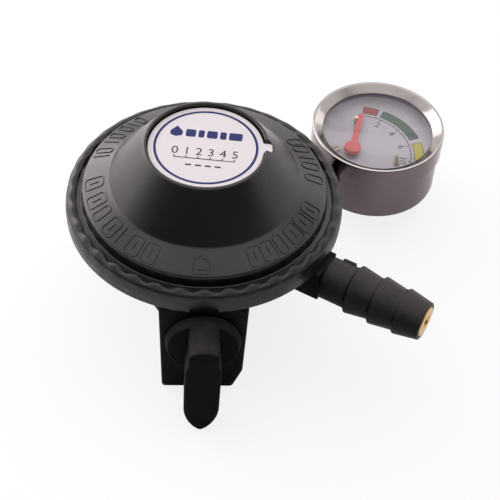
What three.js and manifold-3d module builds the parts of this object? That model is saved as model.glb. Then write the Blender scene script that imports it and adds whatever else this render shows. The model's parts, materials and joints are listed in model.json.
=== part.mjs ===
// Low-pressure gas regulator for a clip-on cylinder valve, with a pressure gauge beside it.
// Millimetres, +Z up. The regulator's own axis is vertical; the knob, the hose outlet and the gauge
// each have a frame whose +X points outward from that axis, turned to their azimuth.
import * as THREE from 'three';
import { mergeVertices } from 'three/addons/utils/BufferGeometryUtils.js';
import Module from 'manifold-3d';

const wasm = await Module();
wasm.setup();

// ---------------------------------------------------------------- driving dimensions
const ringRadius = 38;            // widest radius of the rolled clamp ring
const ringBottom = 34.2;          // underside of the ring above the base
const ringHeight = 7.05;          // ring's underside to its crown
const ringTeeth = 36;             // crimp scallops around the crown
const scallopDepth = 0.4;         // how far the crimp presses the crown inward and down
const ringNotchWidth = 7.2;       // notch in the ring's wall above the knob
const ringNotchHeight = 2.2;
const ringWall = 1.6;

const bonnetFlangeThickness = 1.0;
const skirtWallRadius = 33.3;     // upright step at the outer edge of the bonnet's skirt
const skirtWallHeight = 3.4;
const coneFootRadius = 26;        // where the skirt meets the cone
const skirtRise = 3.4;
const coneTopRadius = 16.7;
const coneHeight = 11.8;
const lipRise = 0.5;              // rounded lip around the label
const lipWidth = 0.85;
const labelThickness = 1.0;
const labelRecess = 1.1;          // label's face below the lip's top
const labelTabLength = 2.2;
const labelTabWidth = 3.0;
const bonnetWall = 1.8;
const plugRadius = 9.8;
const plugHeight = 5;
const plugHubDepth = 6;           // threaded hub below the label's seat
const ventRadius = 0.8;

const diaphragmThickness = 0.8;
const diaphragmStroke = 1.2;        // travel from valve open to valve shut
const convolutionDrop = 1.9;      // depth of the rolled fold
const plateRadius = 22;
const plateThickness = 1.0;
const springRadius = 8;
const springWire = 0.8;           // wire radius
const springTurns = 5.5;
const stemRadius = 3;

const flangeThickness = 1.9;      // lower body's flange inside the ring
const bowlRadius = 31.5;
const bowlWall = 2.7;
const bowlDepth = 10.2;           // underside of the flange to the underside of the bowl
const floorThickness = 2;
const columnRadius = 5.6;
const columnTop = 31.9;

const leverAzimuth = 180;
const leverArm = 10;              // pin to diaphragm stem
const seatArm = 5.2;                // pin to valve seat
const leverThickness = 1.0;
const leverWidth = 5;
const leverHeight = 35.2;
const tongueWidth = 3;
const leverPinRadius = 0.8;
const nozzleSeatHeight = 32.4;    // rim of the brass nozzle
const nozzleBore = 0.8;           // radius
const ductHeight = 29.9;
const ductRadius = 1.1;

const socketRadius = 15.6;
const pocketRadius = 14.1;        // room for the locking sleeve
const inletBore = 10.15;          // radius, for a 20 mm clip-on valve
const bushWall = 1.45;
const bushHeight = 14.6;
const bushFlange = 1.5;
const ballRadius = 1.4;
const ballHeight = 7;
const ballCount = 3;
const ballReach = 1.25;           // how far a locked ball stands into the bore
const sleeveBottom = 3.7;
const plungerStem = 4;            // radius of the stem in the column
const plungerBore = 1.3;
const noseRadius = 2.9;
const noseTip = 9.3;
const sealInset = 1.75;           // inlet bore's radius to the seal's
const sealThickness = 1.7;

const knobAzimuth = -90;
const blockFace = 36;             // block's front face from the regulator's axis
const blockWidth = 23.8;
const blockDraft = 0.8;           // how much narrower the block's foot is, each side
const blockChamfer = 7.2;         // sloping corner at the foot, right-hand side: its height
const blockChamferIn = 2.6;       // and how far it comes in
const knobHeight = 21.4;
const knobRadius = 10.35;
const knobDraft = 0.8;
const knobThickness = 3.1;
const handleReach = 15;           // block's face to the handle's front
const handleWidth = 8.4;
const paddleWidth = 9.5;
const handleTip = 0.6;
const handleArch = 1.4;
const shaftRadius = 4;
const crankOffset = 1.8;
const crankRadius = 1.4;
const knobTurn = 90;              // degrees between locked and open

const outletAzimuth = -31.1;
const outletHeight = 29.1;
const outletBossSize = 9.6;
const outletBossReach = 0.9;      // boss's end beyond the ring
const neckRadius = 5.9;
const barbRadii = [6.9, 6.85, 6.55];
const barbRoots = [6.0, 5.95, 5.3];
const neckLength = 7.4;
const barbPitch = 7.2;
const barbTipFlat = 0.4;
const hoseBore = 2.6;             // radius
const insertRadius = 4.2;
const insertBore = 1.3;

const gaugeAzimuth = 38.2;
const gaugeDistance = 67;         // gauge's centre from the regulator's axis
const gaugeRim = 28.3;            // top of the bezel above the base
const gaugeRadius = 19.93;
const bezelHeight = 7;
const bezelLip = 3.3;             // width of the sloping lip
const bezelSlope = 1.9;           // how far the lip falls towards the glass
const caseRadius = 19.2;
const caseWall = 0.9;
const gaugeDepth = 20.4;
const dialDepth = 6.5;            // dial's face below the bezel's top
const dialThickness = 0.5;
const windowThickness = 1.0;
const dialTurn = -6.5;            // degrees between the stem's line and the scale's middle
const pivotOffset = 8.8;          // pointer's pivot from the gauge's centre
const sweepHalf = 44;             // half of the pointer's sweep, degrees
const pointerLength = 15;
const pointerHub = 2.5;
const stopPinReach = 11.8;        // stop pin and limit post from the pivot
const limitPostReach = 13.3;
const limitPostLead = 6.2;         // degrees past the end of the sweep
const gaugeStemHeight = 17.3;
const stemThread = 4.7;           // radius
const stemHex = 11;               // across flats
const bourdonRadius = 13;
const bourdonStart = 159;         // degrees
const bourdonSpan = 282;
const gaugeCrank = 1.8;

const gap = 0.3;                  // between pieces that touch inside a turned group
const fit = 0.1;                  // running clearance
const seam = 0.05;                // between pieces that bear on each other

// ---------------------------------------------------------------- heights worked out from them
const ringTop = ringBottom + ringHeight;
const flangeBottom = ringBottom + 1.3;
const flangeTop = flangeBottom + flangeThickness;
const clampBottom = flangeTop + fit;
const clampTop = clampBottom + 1.0;
const bonnetBottom = clampTop + 2 * fit;
const bonnetFlangeTop = bonnetBottom + bonnetFlangeThickness;
const skirtEdge = bonnetFlangeTop + skirtWallHeight;
const coneFoot = skirtEdge + skirtRise;
const coneTop = coneFoot + coneHeight;
const lipTop = coneTop + lipRise;
const labelTop = lipTop - labelRecess;
const labelSeat = labelTop - labelThickness - seam;
const outletBossEnd = ringRadius + outletBossReach;
const outletTip = outletBossEnd + gap + neckLength + barbPitch * barbRadii.length + barbTipFlat;
const sealRadius = inletBore - sealInset;
const clampRadius = ringRadius - ringWall - 0.2;   // flanges end just inside the ring's wall
const bowlBottom = flangeBottom - bowlDepth;
const chamberFloor = bowlBottom + floorThickness;
const diaphragmUnder = clampBottom - gap;
const diaphragmTop = diaphragmUnder + diaphragmThickness;
const plateTop = diaphragmTop + seam + plateThickness;
const plugBottom = labelSeat - plugHeight - seam;
const nozzleReach = leverArm + seatArm;            // from the regulator's axis, along the lever's line
const leverTurn = diaphragmStroke / leverArm;      // radians, from the valve open to shut
const crankDrop = crankOffset * Math.sin(THREE.MathUtils.degToRad(knobTurn / 2));
const plungerTravel = 2 * crankDrop;
const crankLow = knobHeight - crankDrop;
const grooveBottom = crankLow - crankRadius - 0.15;
const grooveTop = crankLow + crankRadius + 0.15;
const plateUnder = grooveBottom - 2.1;
const sleeveRadius = pocketRadius - 2 * fit;
const bushRadius = inletBore + bushWall;
const ballLocked = inletBore - ballReach + ballRadius;
const dialTop = gaugeRim - dialDepth;
const gaugeBottom = gaugeRim - gaugeDepth;
const caseTop = gaugeRim - 3.7;
const ribTop = nozzleSeatHeight - 1;               // top of the duct ribs and the nozzle's post

// ---------------------------------------------------------------- helpers
const radians = THREE.MathUtils.degToRad;

/** A closed solid from a three.js geometry, wound so that its faces point outward. */
function solid(geometry) {
  const bare = geometry.index ? geometry.clone() : geometry;
  for (const name of Object.keys(bare.attributes)) {
    if (name !== 'position') bare.deleteAttribute(name);
  }
  const merged = mergeVertices(bare, 1e-4);
  const at = merged.attributes.position;
  const corners = [];
  for (let i = 0; i < merged.index.count; i += 3) {
    const [a, b, c] = [0, 1, 2].map((k) => merged.index.getX(i + k));
    if (a !== b && b !== c && c !== a) corners.push(a, b, c);
  }
  const [p, q, r] = [0, 1, 2].map(() => new THREE.Vector3());
  let volume = 0;
  for (let i = 0; i < corners.length; i += 3) {
    p.fromBufferAttribute(at, corners[i]);
    q.fromBufferAttribute(at, corners[i + 1]);
    r.fromBufferAttribute(at, corners[i + 2]);
    volume += p.dot(q.cross(r));
  }
  if (volume < 0) corners.reverse();
  return new wasm.Manifold(new wasm.Mesh({
    numProp: 3,
    vertProperties: new Float32Array(at.array),
    triVerts: new Uint32Array(corners),
  }));
}

/** The geometry of a solid, for a THREE.Mesh. */
function surface(body) {
  const mesh = body.getMesh();
  const geometry = new THREE.BufferGeometry();
  geometry.setAttribute('position', new THREE.BufferAttribute(mesh.vertProperties, 3));
  geometry.setIndex(new THREE.BufferAttribute(mesh.triVerts, 1));
  geometry.computeVertexNormals();
  return geometry;
}

/** A body of revolution about +Z from a closed profile of [radius, height] points. */
function lathe(profile, segments = 36) {
  const points = [...profile, profile[0]].map(([radius, height]) => new THREE.Vector2(radius, height));
  return new THREE.LatheGeometry(points, segments).rotateX(Math.PI / 2);
}

/** The same about +X, from [radius, distance along X] points, at a height above the base. */
function latheAlongX(profile, height, segments = 32) {
  return lathe(profile, segments).rotateY(Math.PI / 2).translate(0, 0, height);
}

/** A round bar between two points. */
function bar(radius, from, to, segments = 20) {
  const start = new THREE.Vector3(...from);
  const along = new THREE.Vector3(...to).sub(start);
  const turn = new THREE.Quaternion().setFromUnitVectors(
    new THREE.Vector3(0, 1, 0), along.clone().normalize());
  const geometry = new THREE.CylinderGeometry(radius, radius, along.length(), segments);
  const middle = start.addScaledVector(along, 0.5);
  return geometry.applyQuaternion(turn).translate(middle.x, middle.y, middle.z);
}

/** A box between two opposite corners. */
function block(low, high) {
  const size = high.map((value, k) => value - low[k]);
  const middle = high.map((value, k) => (value + low[k]) / 2);
  return new THREE.BoxGeometry(...size).translate(...middle);
}

/** Points on an arc of a profile, angles in degrees. */
function arc(centre, radius, from, to, steps) {
  return Array.from({ length: steps + 1 }, (_, k) => {
    const angle = radians(from + (to - from) * k / steps);
    return [centre[0] + radius * Math.cos(angle), centre[1] + radius * Math.sin(angle)];
  });
}

/** A piece of geometry turned about the regulator's axis to an azimuth in degrees. */
const turned = (geometry, azimuth) => geometry.rotateZ(radians(azimuth));

const join = (...geometries) => geometries.map(solid).reduce((whole, part) => whole.add(part));
const cut = (body, ...geometries) => geometries.map(solid).reduce((rest, tool) => rest.subtract(tool), body);

function finish(colour, roughness, metalness) {
  return new THREE.MeshStandardMaterial({ color: colour, roughness, metalness });
}

const materials = {
  black: () => finish(0x1d1c1c, 0.5, 0.1),
  steel: () => finish(0xb4b4b2, 0.35, 1),
  chrome: () => finish(0xc9c4c0, 0.12, 1),
  brass: () => finish(0xc9a24b, 0.3, 1),
  alloy: () => finish(0xa7abad, 0.45, 1),
  rubber: () => finish(0x151515, 0.85, 0),
  white: () => finish(0xf2f2ee, 0.6, 0),
  red: () => finish(0xe0483f, 0.5, 0),
  glass: () => finish(0xe8eef0, 0.05, 0),
};

/** Adds a named piece to a group. */
function piece(group, name, body, material) {
  const mesh = new THREE.Mesh(surface(body), material());
  mesh.name = name;
  group.add(mesh);
}

/** A group whose +X points outward at an azimuth. */
function facing(parent, azimuth) {
  const group = new THREE.Group();
  group.rotation.z = radians(azimuth);
  parent.add(group);
  return group;
}

// ---------------------------------------------------------------- housing
/** Rib on the chamber's floor that carries a gas duct outward from the column. */
const ductRib = (azimuth, reach) => turned(
  block([columnRadius - 2, -2.2, chamberFloor - 1], [reach, 2.2, ribTop]), azimuth);
const ductHole = (azimuth, reach) => turned(
  bar(ductRadius, [0, 0, ductHeight], [reach, 0, ductHeight], 12), azimuth);

function frontBlock() {
  const half = blockWidth / 2;
  const top = ringBottom - gap;
  const foot = half - blockDraft;
  const shape = new THREE.Shape();
  shape.moveTo(-foot, 0);
  shape.lineTo(foot - blockChamferIn, 0);
  shape.lineTo(foot, blockChamfer);
  shape.lineTo(half, top);
  shape.lineTo(-half, top);
  shape.closePath();
  const depth = blockFace - 8;
  const body = new THREE.ExtrudeGeometry(shape, { depth, bevelEnabled: false });
  // the outline lies in X-Y; stand it up so that it faces +X
  return body.rotateX(Math.PI / 2).rotateZ(Math.PI / 2).translate(8, 0, 0);
}

function lowerBody() {
  const outer = lathe([
    [0, 0], [socketRadius - 0.5, 0], [socketRadius, 0.5], [socketRadius, bowlBottom - 3],
    [socketRadius + 1, bowlBottom - 0.9], [socketRadius + 3, bowlBottom],
    [bowlRadius - 4, bowlBottom], [bowlRadius - 1.2, bowlBottom + 1.2],
    [bowlRadius, bowlBottom + 4], [bowlRadius, flangeBottom], [clampRadius, flangeBottom],
    [clampRadius, flangeTop], [0, flangeTop],
  ], 40);
  const inner = bowlRadius - bowlWall;
  const chamber = lathe([
    [0, chamberFloor], [inner - 1.5, chamberFloor], [inner, chamberFloor + 1.5],
    [inner, flangeBottom - 0.9], [inner + 3, flangeBottom + 0.9],
    [inner + 3, flangeTop + 1], [0, flangeTop + 1],
  ], 36);
  const boss = outletBossSize / 2;
  const pocketTop = grooveTop + plungerTravel + fit;
  const collarTop = grooveTop + plungerTravel + 1.4;
  let body = cut(join(
    outer,
    turned(frontBlock(), knobAzimuth),
    turned(block([bowlRadius - 5, -boss, outletHeight - boss],
      [outletBossEnd, boss, outletHeight + boss]), outletAzimuth),
    turned(bar(7.4, [socketRadius - 4, 0, gaugeStemHeight], [26, 0, gaugeStemHeight], 24), gaugeAzimuth),
    turned(block([socketRadius - 3, -3, gaugeStemHeight], [26, 3, bowlBottom + 1]), gaugeAzimuth),
  ), chamber);
  const lug = leverWidth / 2 + 0.5;
  body = body.add(join(
    bar(columnRadius, [0, 0, chamberFloor - 1], [0, 0, columnTop], 24),
    ductRib(leverAzimuth, nozzleReach),
    ductRib(gaugeAzimuth, 22),
    turned(bar(4.6, [nozzleReach, 0, chamberFloor - 1], [nozzleReach, 0, ribTop], 24),
      leverAzimuth),
    ...[-1, 1].map((side) => turned(block(
      [leverArm - 1.4, side > 0 ? lug : -lug - 1.6, chamberFloor - 1],
      [leverArm + 1.4, side > 0 ? lug + 1.6 : -lug, leverHeight + 1.3]), leverAzimuth)),
  ));
  return cut(body,
    // room for the locking sleeve, the crank collar and the plunger's stem, one above the other
    bar(pocketRadius, [0, 0, -1], [0, 0, pocketTop], 36),
    bar(8.6, [0, 0, pocketTop - 1], [0, 0, collarTop], 24),
    bar(plungerStem + fit, [0, 0, collarTop - 1], [0, 0, columnTop - 0.9], 24),
    ductHole(leverAzimuth, nozzleReach),
    ductHole(gaugeAzimuth, 20),
    turned(bar(ductRadius, [20, 0, gaugeStemHeight], [20, 0, ductHeight], 12), gaugeAzimuth),
    turned(bar(stemThread + 0.15, [18, 0, gaugeStemHeight], [27, 0, gaugeStemHeight], 24), gaugeAzimuth),
    turned(bar(3.05, [nozzleReach, 0, ductHeight - ductRadius - 0.2],
      [nozzleReach, 0, nozzleSeatHeight], 24), leverAzimuth),
    turned(bar(leverPinRadius + seam, [leverArm, -lug - 3, leverHeight],
      [leverArm, lug + 3, leverHeight], 12), leverAzimuth),
    turned(bar(insertRadius, [30, 0, outletHeight], [outletBossEnd + 1, 0, outletHeight], 24), outletAzimuth),
    turned(bar(3, [bowlRadius - 8, 0, outletHeight], [31, 0, outletHeight], 16), outletAzimuth),
    turned(bar(shaftRadius + fit, [pocketRadius - 2, 0, knobHeight], [blockFace + 1, 0, knobHeight], 24),
      knobAzimuth),
    turned(bar(1.25, [21, shaftRadius, -1], [21, shaftRadius, knobHeight + 6], 12), knobAzimuth),
    ...[-1, 1].map((side) => turned(block(
      [blockFace - 12.5, side > 0 ? 1.4 : -9.4, -1], [blockFace - 2.5, side > 0 ? 9.4 : -1.4, 12]),
    knobAzimuth)),
  );
}

/** Rolled ring: a C-section whose crown is pressed into scallops. */
function clampRing() {
  const wall = ringRadius - ringWall;
  const lip = bonnetFlangeTop + 0.2;
  const profile = [
    [wall - 3.1, ringBottom], [ringRadius - 0.55, ringBottom], [ringRadius - 0.15, ringBottom + 0.35],
    [ringRadius, ringBottom + 1.4], [ringRadius - 0.25, ringBottom + 4.1],
    [ringRadius - 0.75, ringTop - 0.65], [ringRadius - 1.4, ringTop], [ringRadius - 2.05, ringTop - 0.5],
    [ringRadius - 2.4, lip], [wall, lip], [wall, ringBottom + 1.05], [wall - 3.1, ringBottom + 1.05],
  ];
  const ring = lathe(profile, 2 * ringTeeth);
  const at = ring.attributes.position;
  const crownStart = ringBottom + 4.2;
  for (let i = 0; i < at.count; i += 1) {
    const [x, y, z] = [at.getX(i), at.getY(i), at.getZ(i)];
    const radius = Math.hypot(x, y);
    const isCrown = z > crownStart && (z > lip + 0.1 || radius < wall - 0.1) && radius > 1;
    const tooth = Math.cos(Math.atan2(y, x) * ringTeeth);
    const shift = isCrown ? scallopDepth * (tooth - 1) / 2 : 0;
    const scale = (radius + shift) / radius;
    at.setXYZ(i, x * scale, y * scale, z > lip + 0.1 && isCrown ? z + shift : z);
  }
  const notch = block([ringRadius - 0.9, -ringNotchWidth / 2, ringBottom - 1],
    [ringRadius + 1, ringNotchWidth / 2, ringBottom + ringNotchHeight]);
  return cut(solid(ring), turned(notch, knobAzimuth));
}

function bonnet() {
  const underLabel = labelSeat - bonnetWall;
  const recess = coneTopRadius - lipWidth;
  const shell = lathe([
    [clampRadius, bonnetBottom], [clampRadius, bonnetFlangeTop], [skirtWallRadius, bonnetFlangeTop],
    [skirtWallRadius - 0.1, skirtEdge - 0.3], [skirtWallRadius - 0.4, skirtEdge],
    [coneFootRadius, coneFoot], [coneTopRadius, coneTop], [coneTopRadius - 0.3, lipTop - 0.1],
    [coneTopRadius - 0.55, lipTop], [recess, lipTop - 0.2], [recess, labelSeat],
    [plugRadius + fit, labelSeat], [plugRadius + fit, labelSeat - plugHubDepth],
    [plugRadius + 2.4, labelSeat - plugHubDepth], [plugRadius + 2.4, underLabel],
    [recess + 0.9, underLabel], [coneFootRadius - 1.4, coneFoot - 1.3],
    [skirtWallRadius - 2.1, skirtEdge - 1.1], [skirtWallRadius - 1.9, bonnetBottom],
  ], 40);
  const notchWidth = labelTabWidth + 0.5;
  return cut(solid(shell),
    block([recess - 2, -notchWidth / 2, labelSeat + 0.1], [coneTopRadius + 2, notchWidth / 2, lipTop + 1]),
    bar(ventRadius, [recess - 2.2, 0, underLabel - 1], [recess - 2.2, 0, labelSeat + 1], 12));
}

function labelDisc() {
  const radius = coneTopRadius - lipWidth - 0.4;
  return join(
    bar(radius, [0, 0, labelTop - labelThickness], [0, 0, labelTop], 40),
    block([radius - 2, -labelTabWidth / 2, labelTop - labelThickness + 0.2],
      [radius + labelTabLength, labelTabWidth / 2, labelTop]));
}

function adjustingPlug() {
  return cut(solid(bar(plugRadius, [0, 0, plugBottom], [0, 0, labelSeat - seam], 32)),
    bar(4, [0, 0, labelSeat - 3], [0, 0, labelSeat + 1], 6),
    bar(ventRadius, [0, 0, plugBottom - 1], [0, 0, labelSeat + 1], 12));
}

// ---------------------------------------------------------------- diaphragm and valve
class Helix extends THREE.Curve {
  constructor(radius, turns, low, high) {
    super();
    Object.assign(this, { radius, turns, low, high });
  }

  getPoint(t, target = new THREE.Vector3()) {
    const angle = 2 * Math.PI * this.turns * t;
    const flat = 0.75 / this.turns;           // dead coil at each end
    const rise = THREE.MathUtils.clamp((t - flat) / (1 - 2 * flat), 0, 1);
    const lay = 2 * springWire * 1.1 * (Math.min(t, flat) / flat + Math.max(0, t - 1 + flat) / flat) / 2;
    const height = this.low + (this.high - this.low - 2 * springWire * 1.1) * rise + lay;
    return target.set(this.radius * Math.cos(angle), this.radius * Math.sin(angle), height);
  }
}

/** A closed tube of round section along a curve. */
function tube(curve, radii, steps, sides) {
  const section = new THREE.Shape(Array.from({ length: sides }, (_, k) => {
    const angle = 2 * Math.PI * k / sides;
    return new THREE.Vector2(radii[0] * Math.cos(angle), radii[1] * Math.sin(angle));
  }));
  return new THREE.ExtrudeGeometry(section, { steps, extrudePath: curve, bevelEnabled: false });
}

function mainSpring() {
  const low = plateTop + seam + springWire + fit;
  const high = plugBottom - seam - springWire - fit;
  return solid(tube(new Helix(springRadius, springTurns, low, high), [springWire, springWire], 60, 6));
}

function diaphragm() {
  const fold = (skirtWallRadius - 2.1 + plateRadius) / 2;
  const width = 3;
  const upper = [
    [clampRadius - 0.2, clampTop], [fold + width + 1.4, clampTop], [fold + width, clampTop - 0.5],
    ...arc([fold, diaphragmTop - 0.1], width - 1, 0, -180, 4).map(
      ([radius, height]) => [radius, diaphragmTop - (diaphragmTop - height) * convolutionDrop / (width - 1)]),
    [plateRadius + 0.6, diaphragmTop], [1.7, diaphragmTop],
  ];
  const lower = upper.map(([radius, height]) => [radius, height - diaphragmThickness]).reverse();
  lower[lower.length - 1][1] = clampBottom;
  return solid(lathe([...upper, ...lower], 28));
}

function diaphragmPlate() {
  const under = diaphragmTop + seam;
  return solid(lathe([
    [1.7, under], [plateRadius, under], [plateRadius, under + 1.8], [plateRadius - 0.9, under + 1.8],
    [plateRadius - 0.9, under + plateThickness], [1.7, under + plateThickness],
  ], 28));
}

/** Rivet through the diaphragm, with an eye below that holds the lever's tongue. */
function diaphragmStem() {
  const under = diaphragmUnder - seam;
  const eye = leverHeight - diaphragmStroke;
  const body = solid(lathe([
    [0, eye - 1.5], [stemRadius, eye - 1.5], [stemRadius, under], [1.5, under],
    [1.5, plateTop + seam], [2.6, plateTop + seam], [2.2, plateTop + 1], [0, plateTop + 1],
  ], 20));
  const halfEye = tongueWidth / 2 + 0.3;
  return cut(body, block([-stemRadius - 1, -halfEye, eye - 1], [stemRadius + 1, halfEye, eye + 1]));
}

// The lever and what it carries are drawn about the lever's pin, as they lie with the valve shut.
function valveLever() {
  const half = leverThickness / 2;
  const hub = leverPinRadius + 1;
  return cut(join(
    block([-leverArm - 2.4, -tongueWidth / 2, -half], [0, tongueWidth / 2, half]),
    block([-2, -leverWidth / 2, -half], [seatArm + 3, leverWidth / 2, half]),
    bar(hub, [0, -leverWidth / 2, 0], [0, leverWidth / 2, 0], 20),
  ),
  bar(leverPinRadius + fit, [0, -leverWidth, 0], [0, leverWidth, 0], 12),
  bar(1, [seatArm, 0, -2], [seatArm, 0, 2], 12));
}

const leverPin = () => solid(bar(leverPinRadius, [0, -leverWidth / 2 - 2, 0], [0, leverWidth / 2 + 2, 0], 12));

/** Cup riveted under the lever's short arm, and the rubber disc that it holds. */
function seatCarrier() {
  const under = -leverThickness / 2 - seam;
  const over = leverThickness / 2 + seam;
  const bottom = nozzleSeatHeight - leverHeight + 0.4;
  return solid(lathe([
    [0, under - 0.3], [2.35, under - 0.3], [2.35, bottom], [3, bottom], [3, under], [0.9, under],
    [0.9, over], [1.7, over], [1.4, over + 0.5], [0, over + 0.5],
  ], 16).translate(seatArm, 0, 0));
}

const seatDisc = () => solid(bar(2.3, [seatArm, 0, nozzleSeatHeight - leverHeight + seam],
  [seatArm, 0, -leverThickness / 2 - 0.4], 20));

function orificeNozzle() {
  return solid(lathe([
    [nozzleBore, nozzleSeatHeight], [1.6, nozzleSeatHeight], [2.2, ribTop + 0.6], [3.8, ribTop + 0.6],
    [3.8, ribTop + seam], [2.95, ribTop + seam], [2.95, ribTop - 1], [2, ribTop - 1], [2, ribTop - 0.2],
    [nozzleBore, ribTop + 0.3],
  ], 16).translate(nozzleReach, 0, 0));
}

// ---------------------------------------------------------------- inlet, plunger and ball lock
function socketBush() {
  const tubeBody = lathe([
    [inletBore + 0.5, 0], [pocketRadius - seam, 0], [pocketRadius - seam, bushFlange],
    [bushRadius, bushFlange], [bushRadius, bushHeight], [inletBore, bushHeight], [inletBore, 0.5],
  ], 32);
  return cut(solid(tubeBody), ...ballAngles().map((angle) => turned(
    bar(ballRadius + 0.15, [inletBore - 2, 0, ballHeight], [bushRadius + 2, 0, ballHeight], 12), angle)));
}

const ballAngles = () => Array.from({ length: ballCount }, (_, k) => 360 * k / ballCount);

const lockBall = () => solid(new THREE.SphereGeometry(ballRadius, 10, 7).rotateX(Math.PI / 2)
  .translate(ballLocked, 0, ballHeight));

/** Sleeve around the bush; its cone presses the balls inward as it moves down. */
function lockSleeve() {
  const slope = ballReach / plungerTravel;
  const lean = Math.sqrt(1 + slope * slope);
  const atBall = ballLocked + (ballRadius + 2 * seam) * lean;
  const cone = (height) => atBall - slope * (height - ballHeight);
  const narrow = bushRadius + fit;
  const coneEnd = ballHeight + (atBall - narrow) / slope;
  return solid(lathe([
    [cone(sleeveBottom), sleeveBottom], [sleeveRadius, sleeveBottom], [sleeveRadius, grooveBottom],
    [4.85, grooveBottom], [4.85, plateUnder], [narrow, plateUnder], [narrow, coneEnd],
  ], 32));
}

/** Hollow plunger: nose, seal flange, neck through the sleeve's plate, and stem in the column. */
function plunger() {
  const flange = noseTip + 3.7;
  const ringLow = grooveTop + 4.1;
  const body = solid(lathe([
    [plungerBore, noseTip], [noseRadius - 0.6, noseTip], [noseRadius, noseTip + 0.6],
    [noseRadius, flange], [sealRadius + 0.2, flange], [sealRadius + 0.2, flange + 1.5],
    [6.4, flange + 1.7], [6.4, plateUnder - seam], [4.8, plateUnder - seam],
    [4.8, grooveTop], [plungerStem, grooveTop], [plungerStem, ringLow], [2.9, ringLow],
    [2.9, ringLow + 1.5], [plungerStem, ringLow + 1.5], [plungerStem, ringLow + 2.3],
    [plungerStem - 0.3, ringLow + 2.6], [plungerBore, ringLow + 2.6],
  ], 20));
  return cut(body, bar(0.7, [-5, 0, noseTip + 1.4], [5, 0, noseTip + 1.4], 8));
}

const plungerRing = () => solid(new THREE.TorusGeometry(3.42, 0.5, 6, 18)
  .translate(0, 0, grooveTop + 4.85));

const driveCollar = () => solid(lathe([
  [plungerStem + seam, grooveTop + seam], [8.2, grooveTop + seam], [8.2, grooveTop + 1.15],
  [plungerStem + seam, grooveTop + 1.15],
], 28));

const inletSeal = () => solid(lathe([
  [noseRadius + seam, noseTip + 3.7 - seam], [sealRadius, noseTip + 3.7 - seam],
  [sealRadius, noseTip + 3.7 - sealThickness + 0.3], [sealRadius - 0.4, noseTip + 3.7 - sealThickness],
  [noseRadius + seam, noseTip + 3.7 - sealThickness],
], 28));

// ---------------------------------------------------------------- knob
/** Outline of the handle seen from the front: arched top, wider paddle, pointed foot. */
function handleOutline() {
  const top = knobHeight + knobRadius;
  const half = handleWidth / 2;
  const paddle = paddleWidth / 2;
  const shape = new THREE.Shape();
  shape.moveTo(-half, top - handleArch);
  shape.quadraticCurveTo(0, top + handleArch, half, top - handleArch);
  shape.lineTo(half, top - 5.6);
  shape.lineTo(paddle, top - 8);
  shape.lineTo(paddle, handleTip + 8.4);
  shape.quadraticCurveTo(paddle, handleTip + 4, 0, handleTip);
  shape.quadraticCurveTo(-paddle, handleTip + 4, -paddle, handleTip + 8.4);
  shape.lineTo(-paddle, top - 8);
  shape.lineTo(-half, top - 5.6);
  return shape;
}

function handle() {
  const back = blockFace + gap;
  const front = blockFace + handleReach;
  const disc = latheAlongX([
    [0, back], [knobRadius, back], [knobRadius - 0.15, back + 0.6],
    [knobRadius - knobDraft, back + knobThickness - 0.3],
    [knobRadius - knobDraft - 0.3, back + knobThickness], [0, back + knobThickness],
  ], knobHeight, 40);
  const bevel = 0.7;
  const grip = new THREE.ExtrudeGeometry(handleOutline(), {
    depth: front - back - 0.6 - 2 * bevel, curveSegments: 6,
    bevelThickness: bevel, bevelSize: bevel * 0.8, bevelOffset: -bevel * 0.8, bevelSegments: 1,
  }).rotateX(Math.PI / 2).rotateZ(Math.PI / 2).translate(back + 0.6 + bevel, 0, 0);
  const under = new THREE.Shape([
    new THREE.Vector2(back - 1, knobHeight - knobRadius + 0.9),
    new THREE.Vector2(back + knobThickness, knobHeight - knobRadius + 0.9),
    new THREE.Vector2(front - 6.6, handleTip - 1), new THREE.Vector2(back - 1, handleTip - 1),
  ]);
  const relief = new THREE.ExtrudeGeometry(under, { depth: 3 * paddleWidth, bevelEnabled: false })
    .rotateX(Math.PI / 2).translate(0, 1.5 * paddleWidth, 0);
  // the top end of the grip ends flush with the rim of the disc
  const rim = cut(solid(grip), relief);
  const bore = solid(bar(shaftRadius + fit, [back - 1, 0, knobHeight], [back + 5.5, 0, knobHeight], 24))
    .subtract(solid(block([back - 2, 3 + fit, knobHeight - 6], [back + 6, 6, knobHeight + 6])));
  return rim.add(solid(disc)).subtract(bore);
}

function switchShaft() {
  const inner = pocketRadius + 0.3;
  const end = blockFace + gap + 5;
  const ringGroove = [
    [shaftRadius, blockFace - 6], [3.1, blockFace - 6], [3.1, blockFace - 4.4], [shaftRadius, blockFace - 4.4],
  ];
  const pinGroove = [[shaftRadius, 19.6], [2.7, 19.6], [2.7, 22.4], [shaftRadius, 22.4]];
  const barrel = latheAlongX(
    [[0, inner], [shaftRadius, inner], ...pinGroove, ...ringGroove, [shaftRadius, end], [0, end]],
    knobHeight, 24);
  const crank = bar(crankRadius, [5.7, crankDrop, crankLow], [inner + 1, crankDrop, crankLow], 14);
  return cut(join(barrel, crank), block([blockFace + gap, 3, knobHeight - 6], [end + 1, 6, knobHeight + 6]));
}

const shaftRing = () => solid(new THREE.TorusGeometry(3.6, 0.45, 6, 18).rotateY(Math.PI / 2)
  .translate(blockFace - 5.2, 0, knobHeight));

const shaftPin = () => solid(bar(1.15, [21, shaftRadius, 0.8], [21, shaftRadius, knobHeight + 5.6], 12));

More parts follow.
